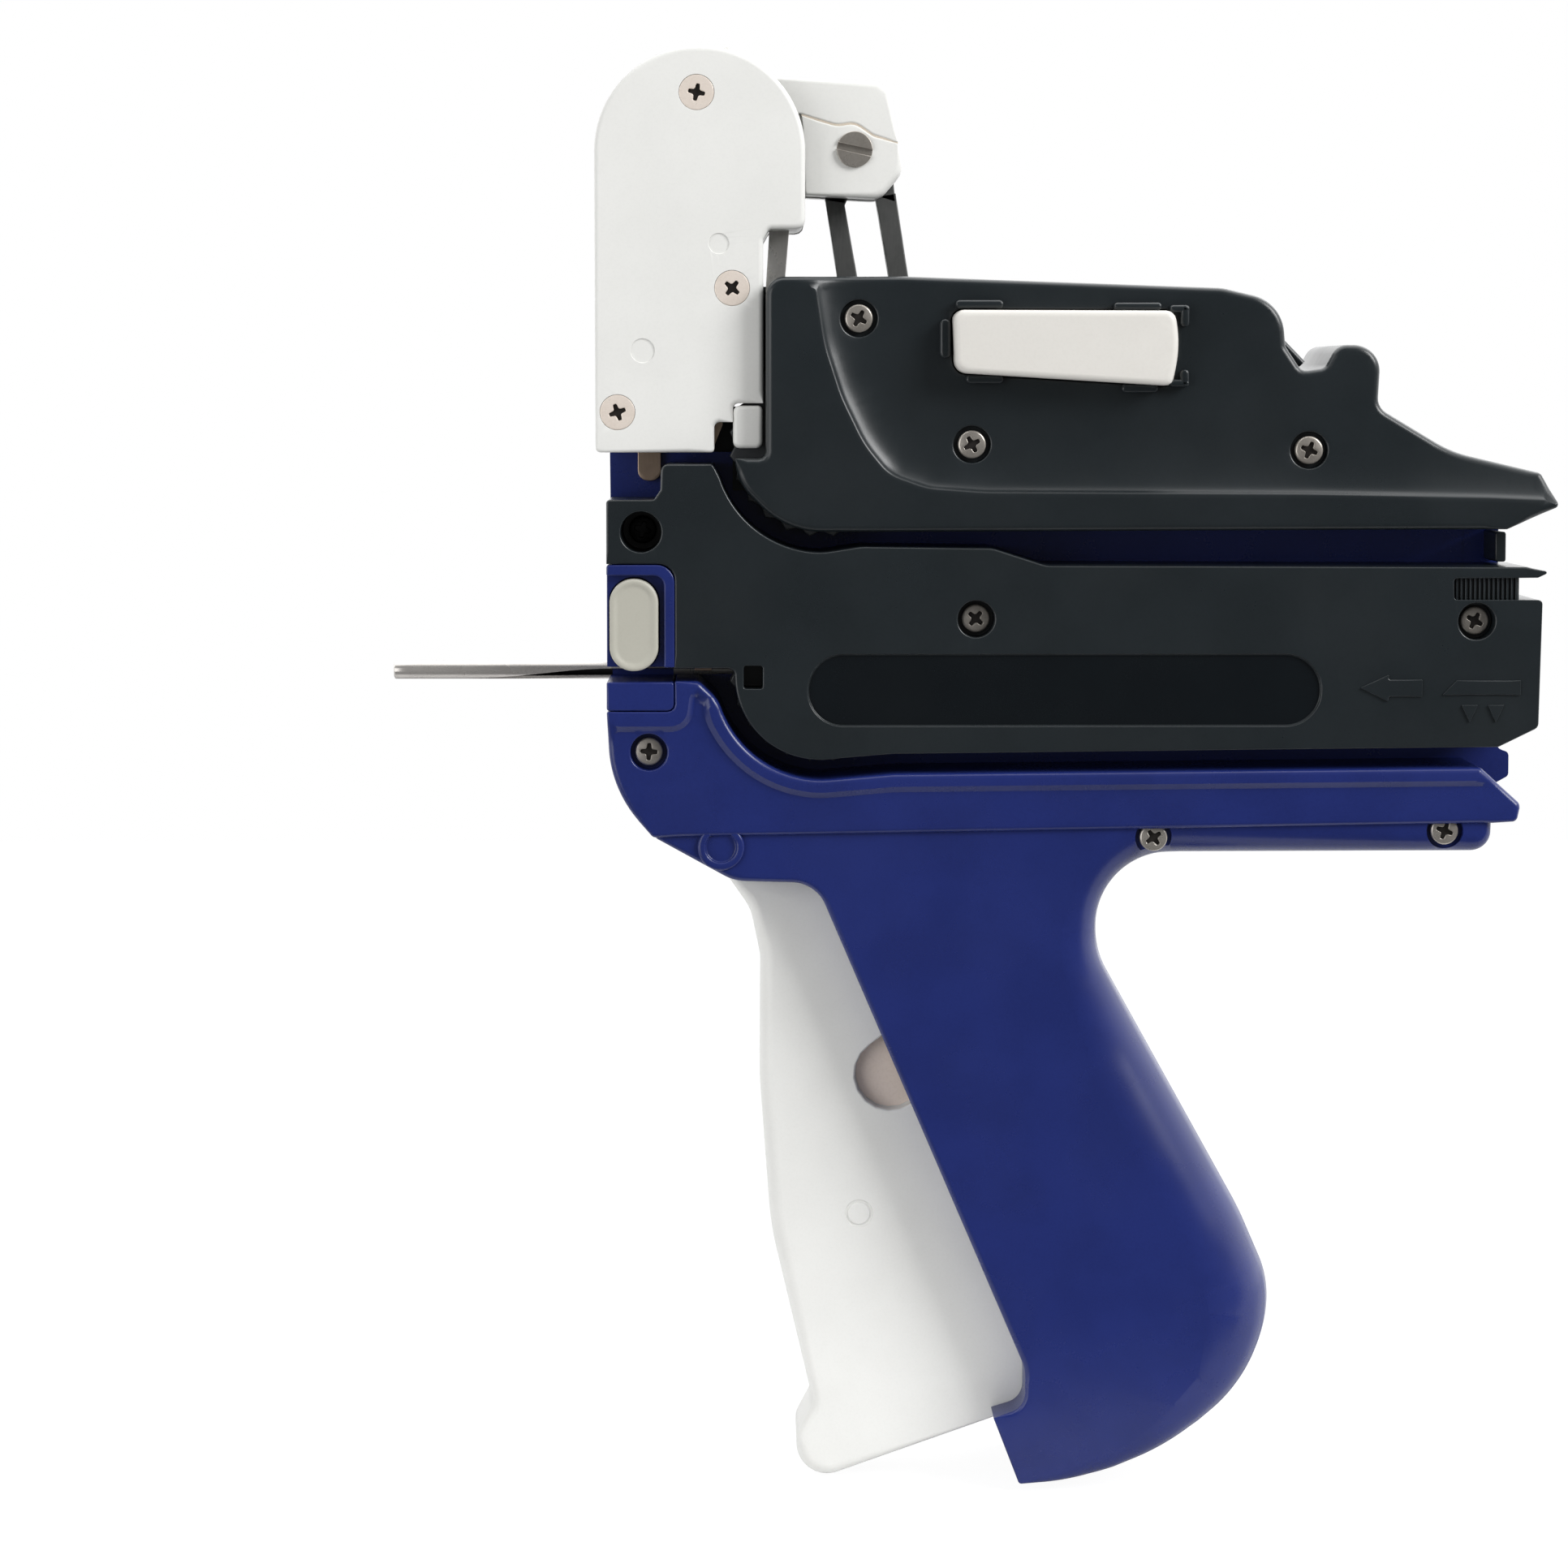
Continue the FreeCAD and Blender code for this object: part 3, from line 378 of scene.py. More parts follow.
def regions(triangles, corners, fixed, loops):
    """True for triangles in the first loop and no other; ones with no fixed side between go together."""
    sides = np.sort(np.vstack([triangles[:, [0, 1]], triangles[:, [1, 2]], triangles[:, [2, 0]]]), 1)
    most = triangles.max() + 1
    codes = sides[:, 0] * most + sides[:, 1]
    fixed = np.sort(fixed, 1)
    barred = fixed[:, 0] * most + fixed[:, 1]
    order = np.argsort(codes, kind="stable")
    listed = codes[order]
    same = (listed[1:] == listed[:-1]) & ~np.isin(listed[1:], barred)
    first, second = order[1:][same] % len(triangles), order[:-1][same] % len(triangles)
    label = np.arange(len(triangles))
    while (label[first] != label[second]).any():
        lower = np.minimum(label[first], label[second])
        np.minimum.at(label, first, lower)
        np.minimum.at(label, second, lower)
        label = label[label]
    reach = corners - np.roll(corners, 1, 1)
    area = np.abs(reach[:, 0, 0] * reach[:, 1, 1] - reach[:, 0, 1] * reach[:, 1, 0])
    by_area = np.argsort(area)
    largest = np.zeros(len(triangles), int)
    largest[label[by_area]] = by_area
    largest = largest[label]
    middles = corners.mean(1)[largest]
    kept = inside(middles, loops[0]) & (area[largest] > 1e-4)
    for hole in loops[1:]:
        kept &= ~inside(middles, hole)
    return kept


class Shell:
    """Points and faces of one closed surface, gathered ring by ring and cap by cap."""

    def __init__(self):
        self.points = []
        self.faces = []
        self.count = 0

    def add(self, points):
        self.points.append(points)
        self.count += len(points)
        return np.arange(self.count - len(points), self.count)

    def wall(self, rings, flip=False):
        """Joins rows of point numbers into closed bands of four-sided faces."""
        for upper, lower in zip(rings, rings[1:]):
            faces = np.column_stack([np.roll(upper, -1), upper, lower, np.roll(lower, -1)])
            self.faces += (faces[:, ::-1] if flip else faces).tolist()

    def cap(self, loops, level, flip=False, spread=None, extra=None):
        """Fills the first loop, less the others, with triangles; level gives the depth of added points."""
        flat = [np.vstack(self.points)[loop][:, [0, 2]] for loop in loops]
        bounds = np.vstack(flat)
        added = np.zeros((0, 2))
        if spread:
            low, high = bounds.min(0), bounds.max(0)
            rows = [np.arange(a + spread / 2, b, spread) for a, b in zip(low, high)]
            added = np.array(np.meshgrid(*rows)).reshape(2, -1).T
            added[:, 0] += spread / 4 * (np.round(added[:, 1] / spread) % 2)
            if extra is not None:
                added = added[distance(added, extra, False) > spread * 0.45]
                added = np.vstack([added, extra])
            added = added[inside(added, flat[0]) & (distance(added, flat[0]) > spread * 0.35)]
            for hole in flat[1:]:
                added = added[~inside(added, hole) & (distance(added, hole) > spread * 0.3)]
        numbers = np.concatenate(list(loops))
        if len(added):
            depth = level(added)
            own = self.add(np.column_stack([added[:, 0], depth, added[:, 1]]))
            numbers = np.concatenate([numbers, own])
        sides, begin = [], 0
        for loop in loops:
            size = len(loop)
            sides += [(begin + i, begin + (i + 1) % size) for i in range(size)]
            begin += size
        everything = np.vstack([bounds, added]) / mm
        found = delaunay_2d_cdt([Vector(p) for p in everything.tolist()], sides, [], 0, 1e-7)
        triangles = np.array(found[2])
        corners = np.array(found[0])[triangles]
        fixed = [edge for edge, source in zip(found[1], found[4]) if source]
        kept = regions(triangles, corners, np.array(fixed), [loop / mm for loop in flat])
        origin = np.array([o[0] if o else -1 for o in found[3]])
        triangles = origin[triangles[kept]]
        faces = numbers[triangles[(triangles >= 0).all(1)]]
        self.faces += (faces[:, ::-1] if flip else faces).tolist()


def edge_rings(curve, radius, level, lean=1.0, steps=5):
    """Rings of a rounded edge, from face to side: a quarter circle of the radius along the curve.

    lean is 1 where the face is inside the curve, and -1 where it is outside, as at the rim of a hole.
    """
    if np.max(radius) == 0:
        return [np.column_stack([curve[:, 0], np.broadcast_to(level, len(curve)), curve[:, 1]])]
    radius = np.broadcast_to(radius, len(curve))
    normal = inward(curve)
    rings = []
    for angle in np.linspace(0, math.pi / 2, steps):
        place = curve[:, :2] + normal * (lean * radius * (1 - math.sin(angle)))[:, None]
        rings.append(np.column_stack([place[:, 0], level + radius * (1 - math.cos(angle)), place[:, 1]]))
    return rings


def moulded(curve, near, far, far_edge=0.0, cuts=(), level=None, spread=None, extra=None):
    """Closed block between two depths: the curve's side wall, rounded edges and two faces.

    The near edge is as round as the curve says; far_edge multiplies that for the far edge. level, if
    given, is the near face's depth at points across and up, in place of near. Each cut is a curve, a
    floor depth (None for right through), a rim radius and a floor radius.
    """
    shell = Shell()
    face = level or (lambda points: np.full(len(points), near))
    normal = inward(curve)
    start = face(curve[:, :2] + normal * curve[:, 2:])
    rings = [shell.add(ring) for ring in edge_rings(curve, curve[:, 2], start)]
    back = edge_rings(curve, curve[:, 2] * far_edge, -far)[::-1]
    rings += [shell.add(ring * [1, -1, 1]) for ring in back]
    shell.wall(rings)
    near_loops, far_loops = [rings[0]], [rings[-1]]
    for cut, bottom, rim, foot in cuts:
        start = face(cut[:, :2] - inward(cut) * rim)
        hole = [shell.add(ring) for ring in edge_rings(cut, rim, start, -1.0, 4)]
        near_loops.append(hole[0])
        if bottom is None:
            hole.append(shell.add(edge_rings(cut, 0, far)[0]))
            far_loops.append(hole[-1])
        else:
            foot_rings = edge_rings(cut, foot, -bottom, 1.0, 4)[::-1]
            hole += [shell.add(ring * [1, -1, 1]) for ring in foot_rings]
            shell.cap([hole[-1]], None)
        shell.wall(hole, True)
    shell.cap(near_loops, face, False, spread, extra)
    shell.cap(far_loops, None, True)
    return shell


def piece(name, shells, finish, body="housing", stands_for=None, sharp=sharp_corner,
          weighted=True):
    """One smooth object with crisp corners; it rides on a body and may stand for a CAD node."""
    mesh = bpy.data.meshes.new(name)
    points, faces, begin = [], [], 0
    for shell in shells:
        own = np.vstack(shell.points)
        points += own.tolist()
        faces += [[number + begin for number in face] for face in shell.faces]
        begin += len(own)
    mesh.from_pydata(points, [], faces)
    mesh.polygons.foreach_set("use_smooth", np.ones(len(mesh.polygons), bool))
    mesh.set_sharp_from_angle(angle=math.radians(sharp))
    mesh.materials.append(finish)
    made = bpy.data.objects.new(name, mesh)
    bpy.context.scene.collection.objects.link(made)
    if weighted:
        made.modifiers.new("weighted", "WEIGHTED_NORMAL").keep_sharp = True
    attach(made, body)
    if stands_for:
        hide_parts(stands_for)
    return made


def circle(place, radius, edge=0.2 * mm, many=40):
    """Closed round curve about a place of the drawing frame."""
    angle = np.arange(many) * 2 * math.pi / many
    across, up = at([place])[0]
    return np.column_stack([across + radius * np.cos(angle), up + radius * np.sin(angle),
                            np.full(many, edge)])


def smooth_step(share):
    share = np.clip(share, 0, 1)
    return share * share * (3 - 2 * share)


def flipped(shell):
    """The same surface on the other side of the middle plane, still facing outwards."""
    shell.points = [np.vstack(shell.points) * [1, -1, 1]]
    shell.faces = [face[::-1] for face in shell.faces]
    return shell


def sweep(place, radius, first, last, many=12):
    """Places on a circle of the drawing frame, angles in degrees clockwise from the right, each rounded."""
    angle = np.radians(np.linspace(first, last, many))
    return [(place[0] + radius * c, place[1] + radius * s, radius)
            for c, s in zip(np.cos(angle), np.sin(angle))]


def carve(made, shell):
    """Cuts a closed shell out of a piece for good."""
    cutter = piece("cutter", [shell], made.data.materials[0], weighted=False)
    cut = made.modifiers.new("cut", "BOOLEAN")
    cut.object = cutter
    cut.solver = "EXACT"
    made.modifiers.move(len(made.modifiers) - 1, 0)
    weighted = made.modifiers["weighted"]
    weighted.show_viewport = False
    bpy.context.view_layer.update()
    mesh = bpy.data.meshes.new_from_object(made.evaluated_get(bpy.context.evaluated_depsgraph_get()))
    made.modifiers.remove(cut)
    weighted.show_viewport = True
    old = made.data
    made.data = mesh
    bpy.data.meshes.remove(old)
    mesh.name = made.name
    mesh.set_sharp_from_angle(angle=math.radians(sharp_corner))
    bpy.data.objects.remove(cutter)


blue = plastic("blue_plastic", (0.0130, 0.0235, 0.142, 1), (0.0100, 0.0185, 0.115, 1), 0.26, shine=0.4)

grip_face = -14.0 * mm
grip_places = [(806, 960), (1834, 960), (1834, 1044, 24, 2.4), (1351, 1049, 98, 5.0),
               (1352, 1170, 120, 8.5), (1535, 1500, 400, 9.0), (1580, 1604, 130, 9.0),
               (1548, 1710, 190, 8.5), (1446, 1788, 300, 5.0), (1332, 1828, 300, 2.4), (1257, 1830, 4),
               (1225, 1747), (1264, 1735, 25, 0.6), (1264, 1686, 50, 0.8), (1005, 1082, 45, 0.8),
               (905, 1080, 60, 0.9), (806, 1025, 10, 0.6)]
mouth_places = [(862, 1000), (1235, 1000), (1285, 1150), (1335, 1310), (1448, 1530), (1450, 1650),
                (1372, 1695), (1240, 1785), (1190, 1808), (860, 1100)]
mouth_half = 7.6 * mm
trigger_pivot = (889, 1037)
boss_radius = 3.2 * mm
boss_proud = 0.65 * mm
dimple_radius = 2.1 * mm
stop_place = (1159, 1273)
stop_radius = 4.4 * mm
stop_end = 5.5 * mm
stop_root = 13 * mm
screw_room = 2.5 * mm
screw_seat = near_face + 3.1 * mm
housing_screws = [((801, 920), 3), ((1419, 1026), 55), ((1776, 1018), 20)]


def housing_hole(place, seat=screw_seat):
    """Counterbore of a case screw."""
    return circle(place, screw_room), seat, 0.25 * mm, 0.1 * mm


def grip_half():
    return moulded(outline(grip_places, change=0.22), grip_face, 0.0)


def pivot_boss():
    """Raised ring on the grip's side round the trigger pin, with a dimple."""
    rim = circle(trigger_pivot, boss_radius, 0.45 * mm, 64)
    dimple = (circle(trigger_pivot, dimple_radius, 0, 64), grip_face - 0.1 * mm, 0.3 * mm, 0.2 * mm)
    return moulded(rim, grip_face - boss_proud, -mouth_half, cuts=[dimple])


def mouth():
    return moulded(outline(mouth_places, 0.0), -mouth_half, mouth_half)


grip_near = piece("grip_near", [grip_half()], blue)
carve(grip_near, mouth())
for place, turn in housing_screws[1:]:
    carve(grip_near, moulded(circle(place, screw_room, 0), near_face, screw_seat))
grip_far = piece("grip_far", [flipped(grip_half())], blue)
carve(grip_far, mouth())
piece("pivot_bosses", [pivot_boss(), flipped(pivot_boss()),
                       moulded(circle(stop_place, stop_radius), -stop_root, -stop_end),
                       moulded(circle(stop_place, stop_radius), stop_end, stop_root)], blue)

# The band's face: a raised lip runs along the slot and round the lower needle block; the panel below it is
# sunk
lip_depth = 0.7 * mm
lip_slope = 0.8 * mm
slot_radius = 131.4
lower_centre = (1013, 822)
band_curve = outline([(750, 870, 2, 0.3), (833, 870, 9, 0.3), (833, 833, 2, 0.3), (862, 833, 14)]
                     + sweep(lower_centre, slot_radius, 165, 90)
                     + [(1100, 946, 60), (1817, 939, 8), (1868, 985, 8), (1863, 1006, 6), (1834, 1008),
                        (806, 1025, 6), (754, 966, 150)], 0.8)
panel_line = outline([(600, 888), (846, 888, 22), (852, 845, 10), (874, 845, 10)]
                     + sweep(lower_centre, slot_radius + 16, 160, 90)
                     + [(1100, 962, 60), (1822, 955, 10), (1834, 948), (2000, 948), (2000, 1200),
                        (600, 1200)], run=0.5 * mm)


def band_level(points):
    """Depth of the band's face: the near face on the lip, then a short slope down to the panel."""
    deep = np.where(inside(points, panel_line), distance(points, panel_line[:, :2]), 0.0)
    return near_face + lip_depth * smooth_step(deep / lip_slope)


def beside(line, offsets):
    """Points along a line at several distances to its inside, to keep a slope crisp."""
    normal = inward(line)
    return np.vstack([line[:, :2] + normal * offset for offset in offsets])


band = moulded(band_curve, near_face, 0.0, level=band_level, spread=1.4 * mm,
               extra=beside(panel_line, [0.0, lip_slope / 2, lip_slope]),
               cuts=[housing_hole(housing_screws[0][0])])
carve(piece("band", [band], blue, stands_for="grip_shell_near"), mouth())

# Far half: the tool's whole flat back, from the feed slots down to the grip
body_places = [(750, 556), (903, 556), (903, 603), (1860, 603, 8), (1860, 928), (1876, 932, 6),
               (1876, 962, 6), (1858, 972), (1840, 1007), (806, 1025, 6), (754, 966, 150)]
body_far = moulded(outline(body_places, 1.2), near_face, -0.1 * mm)
carve(piece("body_far", [flipped(body_far)], blue, stands_for="grip_shell_far"), mouth())


# Trigger: one lever of white acetal that hangs on the pin at the top of the grip. Its curved slot, a pocket
# from each side, takes the housing's stop; the small stud and its ring are left from the mould.

white = plastic("white_plastic", (0.80, 0.80, 0.775, 1), (0.76, 0.76, 0.735, 1), 0.42, 0.002 * mm)
trigger_side = 7.3 * mm
trigger_places = [(884, 1062), (925, 1122, 60, 1.6), (937, 1180, 90, 2), (936, 1330, 400, 2),
                  (950, 1520, 400, 2), (1003, 1743, 30, 1.4), (982, 1784, 30, 1), (984, 1851, 38, 1.6),
                  (1222, 1763), (1300, 1734, 20), (1318, 1640, 60), (1256, 1400), (1240, 1240, 120),
                  (1196, 1092, 20), (1010, 1044), (900, 1012)]
stop_slot = (1099, 1328)
stop_slot_half = 45
stop_slot_sweep = 13


def swung_slot():
    """The stop slot: a band of even width along a circle about the pivot, with round ends."""
    across, down = stop_slot[0] - trigger_pivot[0], stop_slot[1] - trigger_pivot[1]
    reach = math.hypot(across, down)
    start = math.degrees(math.atan2(down, across))
    path = np.radians(np.linspace(start, start - stop_slot_sweep, 12))
    turn = np.radians(np.linspace(0, 180, 10)[1:-1])
    outer = spokes(path) * (reach + stop_slot_half)
    inner = spokes(path)[::-1] * (reach - stop_slot_half)
    round_end = path[-1] - turn
    last = spokes(round_end) * stop_slot_half
    last += reach * np.array([math.cos(path[-1]), math.sin(path[-1])])
    round_start = path[0] + math.pi - turn
    first = spokes(round_start) * stop_slot_half
    first += reach * np.array([math.cos(path[0]), math.sin(path[0])])
    curve = at(np.vstack([outer, last, inner, first]) + trigger_pivot)
    area = np.sum(curve[:, 0] * np.roll(curve[:, 1], -1) - curve[:, 1] * np.roll(curve[:, 0], -1))
    return np.column_stack([curve if area > 0 else curve[::-1], np.zeros(len(curve))])


mark_place = (1060, 1503)
mark = (circle(mark_place, 1.9 * mm), -trigger_side + 0.12 * mm, 0.08 * mm, 0.08 * mm)
slot_level = 5.2 * mm
slot_web = slot_level + 0.15 * mm
trigger = moulded(outline(trigger_places), -trigger_side, trigger_side, 1.0,
                  cuts=[(swung_slot(), -slot_level, 0.3 * mm, 0.3 * mm), mark])
stud = moulded(circle(mark_place, 1.55 * mm), -trigger_side - 0.1 * mm, -trigger_side + 0.5 * mm)
hub = moulded(circle(trigger_pivot, 2.8 * mm), -trigger_side, trigger_side)
trigger_lever = piece("trigger_lever", [trigger, stud, hub], white, "trigger", "trigger")
carve(trigger_lever, moulded(swung_slot(), slot_level, trigger_side + 1 * mm))

# The slot's floor, a web in the middle of the trigger, is coloured beige, a little darker than the trigger's
# white
slot_beige = plastic("slot_floor_beige", (0.84, 0.73, 0.65, 1), (0.74, 0.63, 0.55, 1), 0.55)
slot_floor = swung_slot()
slot_floor[:, :2] += inward(slot_floor) * 0.2 * mm
piece("slot_floor", [moulded(slot_floor, -slot_web, slot_web)], slot_beige, "trigger")


# Lower cover: black glass-filled nylon between the two feed slots, held by two case screws and a deep one.
# Its stadium recess is left bare; two plain pictograms stand at its rear end.

black = plastic("black_plastic", (0.0130, 0.0175, 0.0205, 1), (0.0100, 0.0138, 0.0162, 1), 0.30, shine=0.45)
upper_centre = (1013, 545)
lower_cover_places = ([(750, 612, 4), (808, 612, 5), (816, 600, 5), (817, 569, 8), (878, 569, 8)]
                      + sweep(upper_centre, slot_radius, 165, 90)
                      + [(1060, 669, 60), (1220, 671, 30), (1285, 692, 30), (1870, 694, 4),
                         (1899, 700, 2, 0.1), (1884, 707, 4, 0.1), (1782, 708, 4), (1782, 734, 4, 0.1),
                         (1890, 734, 5, 0.1), (1887, 890, 8), (1838, 914, 8), (1100, 922, 60), (1013, 929),
                         (906, 929, 106), (906, 817, 8), (833, 817), (833, 690, 20), (750, 690)])
lower_screws = [((1200, 757), 40), ((1810, 760), 28)]
deep_screw_place = (792, 651)
deep_well = 2.75 * mm
recess_sink = 0.5 * mm


def box(left, top, right, bottom, *corner):
    """The four places of an upright box, each with the same corner radius if one is given."""
    return [(left, top, *corner), (right, top, *corner), (right, bottom, *corner), (left, bottom, *corner)]


lower_cuts = [housing_hole(lower_screws[0][0]), housing_hole(lower_screws[1][0]),
              (circle(deep_screw_place, deep_well), near_face + 11 * mm, 0.25 * mm, 0.1 * mm),
              (outline(box(917, 814, 940, 842, 3)), near_face + 5 * mm, 0.2 * mm, 0.1 * mm),
              (outline(box(995, 800, 1621, 888, 44)), near_face + recess_sink, 0.18 * mm, 0.15 * mm)]
lower_block = moulded(outline(lower_cover_places, 0.3), near_face, 0.0, cuts=lower_cuts)
lower_cover = piece("lower_cover_dressed", [lower_block], black, stands_for="lower_cover")
carriage_room = outline(box(880, 808, 1332, 848), 0.0)
carve(lower_cover, moulded(carriage_room, -2.35 * mm, 1 * mm))

# Behind the flange at the rear end lies a pocket with upright ribs
rib_wide = 2.6
rib_every = 5.6
rib_depth = near_face + 0.7 * mm
trim = [moulded(outline(box(1774, 702, 1863, 740), 0.1), near_face + 1.3 * mm, -0.1 * mm)]
for across in np.arange(1785, 1862, rib_every):
    rib = box(across, 704, across + rib_wide, 738)
    trim.append(moulded(outline(rib, 0.1), rib_depth, near_face + 1.6 * mm))

# Pictograms stand a little proud: an arrow, and a slanted needle bar with two small arrows below it
picture_proud = 0.3 * mm
pictures = [[(1668, 841), (1703, 825), (1703, 831), (1744, 831), (1744, 852), (1703, 852), (1703, 858)],
            [(1768, 850), (1786, 832), (1864, 832), (1864, 850)],
            [(1792, 862), (1812, 862), (1802, 884)], [(1824, 862), (1844, 862), (1834, 884)]]
for places in pictures:
    trim.append(moulded(outline(places, 0.22), near_face - picture_proud, near_face + 0.3 * mm))
piece("lower_cover_trim", trim, black)

# The recess floor is a sheet of darker black laid on the recess: painted shade in the recess.
recess_shade_black = plastic("recess_shade_black", (0.0045, 0.0066, 0.0085, 1), (0.0035, 0.0052, 0.0070, 1), 0.26,
                       shine=0.3)
recess_curve = outline(box(997, 802, 1619, 886, 42), 0.05)
recess_floor = moulded(recess_curve, near_face + recess_sink - 0.04 * mm, near_face + 0.8 * mm)
piece("recess_floor", [recess_floor], recess_shade_black)


# Upper cover: two halves of the same black nylon, closed by three screws. The near one has a raised band at
# its front and foot, a ridge, and a long hollow sweep that falls to the flat part with the release button's
# window.

dish_depth = 1.2 * mm
dish_sweep = 7.5 * mm
step_depth = 0.75 * mm
step_run = 0.6 * mm
step_fade = 0.9 * mm
cover_screws = [((1057, 392), 30), ((1195, 545), 62), ((1606, 552), 22)]
cover_seat = near_face + 3.4 * mm
window_floor = near_face + 7 * mm
cover_top = [(944, 342, 22), (1110, 341), (1500, 355, 60), (1572, 372, 50), (1577, 426, 10),
             (1597, 456, 12), (1625, 452, 10), (1640, 424, 20), (1694, 424, 32), (1690, 500, 20),
             (1780, 554, 150), (1889, 580, 8)]
near_cover_places = cover_top + [(1910, 620, 5), (1846, 648, 4), (1100, 651), (969, 651, 105),
                                 (907, 589, 62), (907, 562), (944, 562, 4)]
far_cover_places = cover_top + [(1896, 604), (903, 604), (903, 562), (944, 562)]
ridge_line = outline([(1000, 200), (1003, 352, 200), (1014, 425, 200), (1034, 487, 200), (1062, 545, 150),
                      (1093, 583, 60), (1141, 600, 80), (1210, 605, 200), (1600, 607, 200),
                      (1824, 611, 200), (2100, 622), (2100, 200)], run=0.5 * mm)
button_places = [(1170, 382, 13), (1438, 383, 13), (1445, 425, 150), (1435, 474, 10), (1173, 458, 16)]


def cover_level(points):
    """Depth of the upper cover's face: flat up to the ridge, then the sum of a step that fades in and a
    parabola that levels out at the dish's floor."""
    past = np.where(inside(points, ridge_line), distance(points, ridge_line[:, :2]), 0.0)
    share = np.clip(past / dish_sweep, 0, 1)
    step_share = smooth_step(past / step_run) * (1 - np.exp(-past / step_fade))
    return near_face + step_depth * step_share + dish_depth * (1 - (1 - share) ** 2)


window = outline(button_places)
window[:, :2] -= inward(window) * 0.2 * mm
cover_cuts = [housing_hole(place, cover_seat) for place, turn in cover_screws]
cover_cuts.append((window, window_floor, 0.25 * mm, 0.1 * mm))
offsets = np.array([-0.5, 0.0, 0.15, 0.3, 0.45, 0.6, 0.85, 1.2, 1.7, 2.4, 3.2, 4.2]) * mm
upper_near = [moulded(outline(near_cover_places, 0.9), near_face, 0.0, cuts=cover_cuts, level=cover_level,
                      spread=1.3 * mm, extra=beside(ridge_line, offsets))]

# Clip lugs round the button: left, top, right and bottom of each, with rounded ends
lug_boxes = [(1174, 370, 1232, 380), (1366, 373, 1424, 382), (1187, 461, 1232, 471), (1376, 472, 1420, 482),
             (1155, 393, 1168, 440), (1447, 376, 1458, 402), (1447, 454, 1458, 475), (1434, 376, 1458, 385),
             (1434, 466, 1458, 475)]
lug_level = near_face + 0.3 * mm
for left, top, right, bottom in lug_boxes:
    soft = min(right - left, bottom - top) / 2 - 0.4
    lug = outline(box(left, top, right, bottom, soft), 0.4)
    upper_near.append(moulded(lug, lug_level, near_face + 2 * mm))
piece("upper_cover_near_dressed", upper_near, black, stands_for="upper_cover_near")


def tube(path, radius, sides=12):
    """Round closed bar along a path that never runs along Y; the radius may change from point to point."""
    along = np.gradient(path, axis=0)
    along /= np.linalg.norm(along, axis=1)[:, None]
    across = np.cross(along, [0, 1, 0])
    across /= np.linalg.norm(across, axis=1)[:, None]
    upward = np.cross(across, along)
    angle = np.arange(sides) * 2 * math.pi / sides
    shell = Shell()
    rows = []
    for place, side, top, size in zip(path, across, upward, np.broadcast_to(radius, len(path))):
        section = np.outer(np.cos(angle), side) + np.outer(np.sin(angle), top)
        rows.append(shell.add(place + size * section))
    shell.wall(rows)
    shell.faces += [rows[0][::-1].tolist(), rows[-1].tolist()]
    return shell


rod_level = -7 * mm
rod_ends = at([(1570, 412), (1604, 447)])
rod_path = np.column_stack([rod_ends[:, 0], [rod_level, rod_level], rod_ends[:, 1]])
upper_far = flipped(moulded(outline(far_cover_places, 0.9), near_face, 0.0))
piece("upper_cover_far_dressed", [upper_far, tube(rod_path, 0.55 * mm)], black,
      stands_for="upper_cover_far")


# Head: two flat plates of white acetal with a wall between them, closed by three countersunk screws that
# lie flush with the front plate. Two faint rings on it are left by the mould's ejector pins.

head_side = -12 * mm
head_places = [(735, 62, 128), (992, 62, 128), (992, 283, 10), (948, 283, 4), (941, 296), (941, 495),
               (904, 495), (904, 518), (881, 518), (881, 555, 4), (736, 555, 6, 0.4)]
head_thick = 2.5 * mm
head_screws = [((860, 118), 12), ((903, 355), 40), ((763, 506), 70)]
mark_sink = 0.16 * mm
ejector_marks = [((887, 301), 1.4 * mm), ((794, 431), 1.65 * mm)]


def head_plate(cuts):
    return moulded(outline(head_places, 0.7), head_side, head_side + head_thick, cuts=cuts)


front_cuts = [(circle(place, radius), head_side + mark_sink, 0.05 * mm, 0.05 * mm)
              for place, radius in ejector_marks]
front_cuts += [(circle(place, 2.42 * mm), head_side + 1.35 * mm, 0.05 * mm, 0.0)
               for place, turn in head_screws]
piece("head_front_dressed", [head_plate(front_cuts)], white, stands_for="head_plate_front")
piece("head_back_dressed", [flipped(head_plate([]))], white, stands_for="head_plate_back")


# Buttons: a long cream one in the upper cover's window, which frees the feed, and a grey pill with a
# shallow hollow, which frees the needle. Both are moulded in one piece and stand on a coil spring.

button_white = plastic("button_white", (0.74, 0.72, 0.68, 1), (0.70, 0.68, 0.64, 1), 0.34, 0.001 * mm)
pill_grey = plastic("pill_grey", (0.47, 0.46, 0.40, 1), (0.44, 0.43, 0.37, 1), 0.5)
release = moulded(outline(button_places, 0.9), near_face - 2.5 * mm, near_face + 3.0 * mm)
piece("release_button_dressed", [release], button_white, "release_button", "release_button")
pill_places = box(754, 708, 813, 820, 29)
pill_curve = outline(pill_places, 0.35)
pill_top = near_face - 0.8 * mm
pill_rim = 0.5 * mm
pill_slope = 0.6 * mm
pill_hollow = 0.22 * mm


def pill_level(points):
    """Depth of the pill's face: a rounded rim, then a shallow hollow for the fingertip."""
    share = (distance(points, pill_curve[:, :2]) - pill_rim) / pill_slope
    return pill_top + pill_hollow * smooth_step(share)


pill = moulded(pill_curve, pill_top, near_face + 3.2 * mm, level=pill_level, spread=0.25 * mm)
piece("needle_button_dressed", [pill], pill_grey, "needle_button", "needle_button")
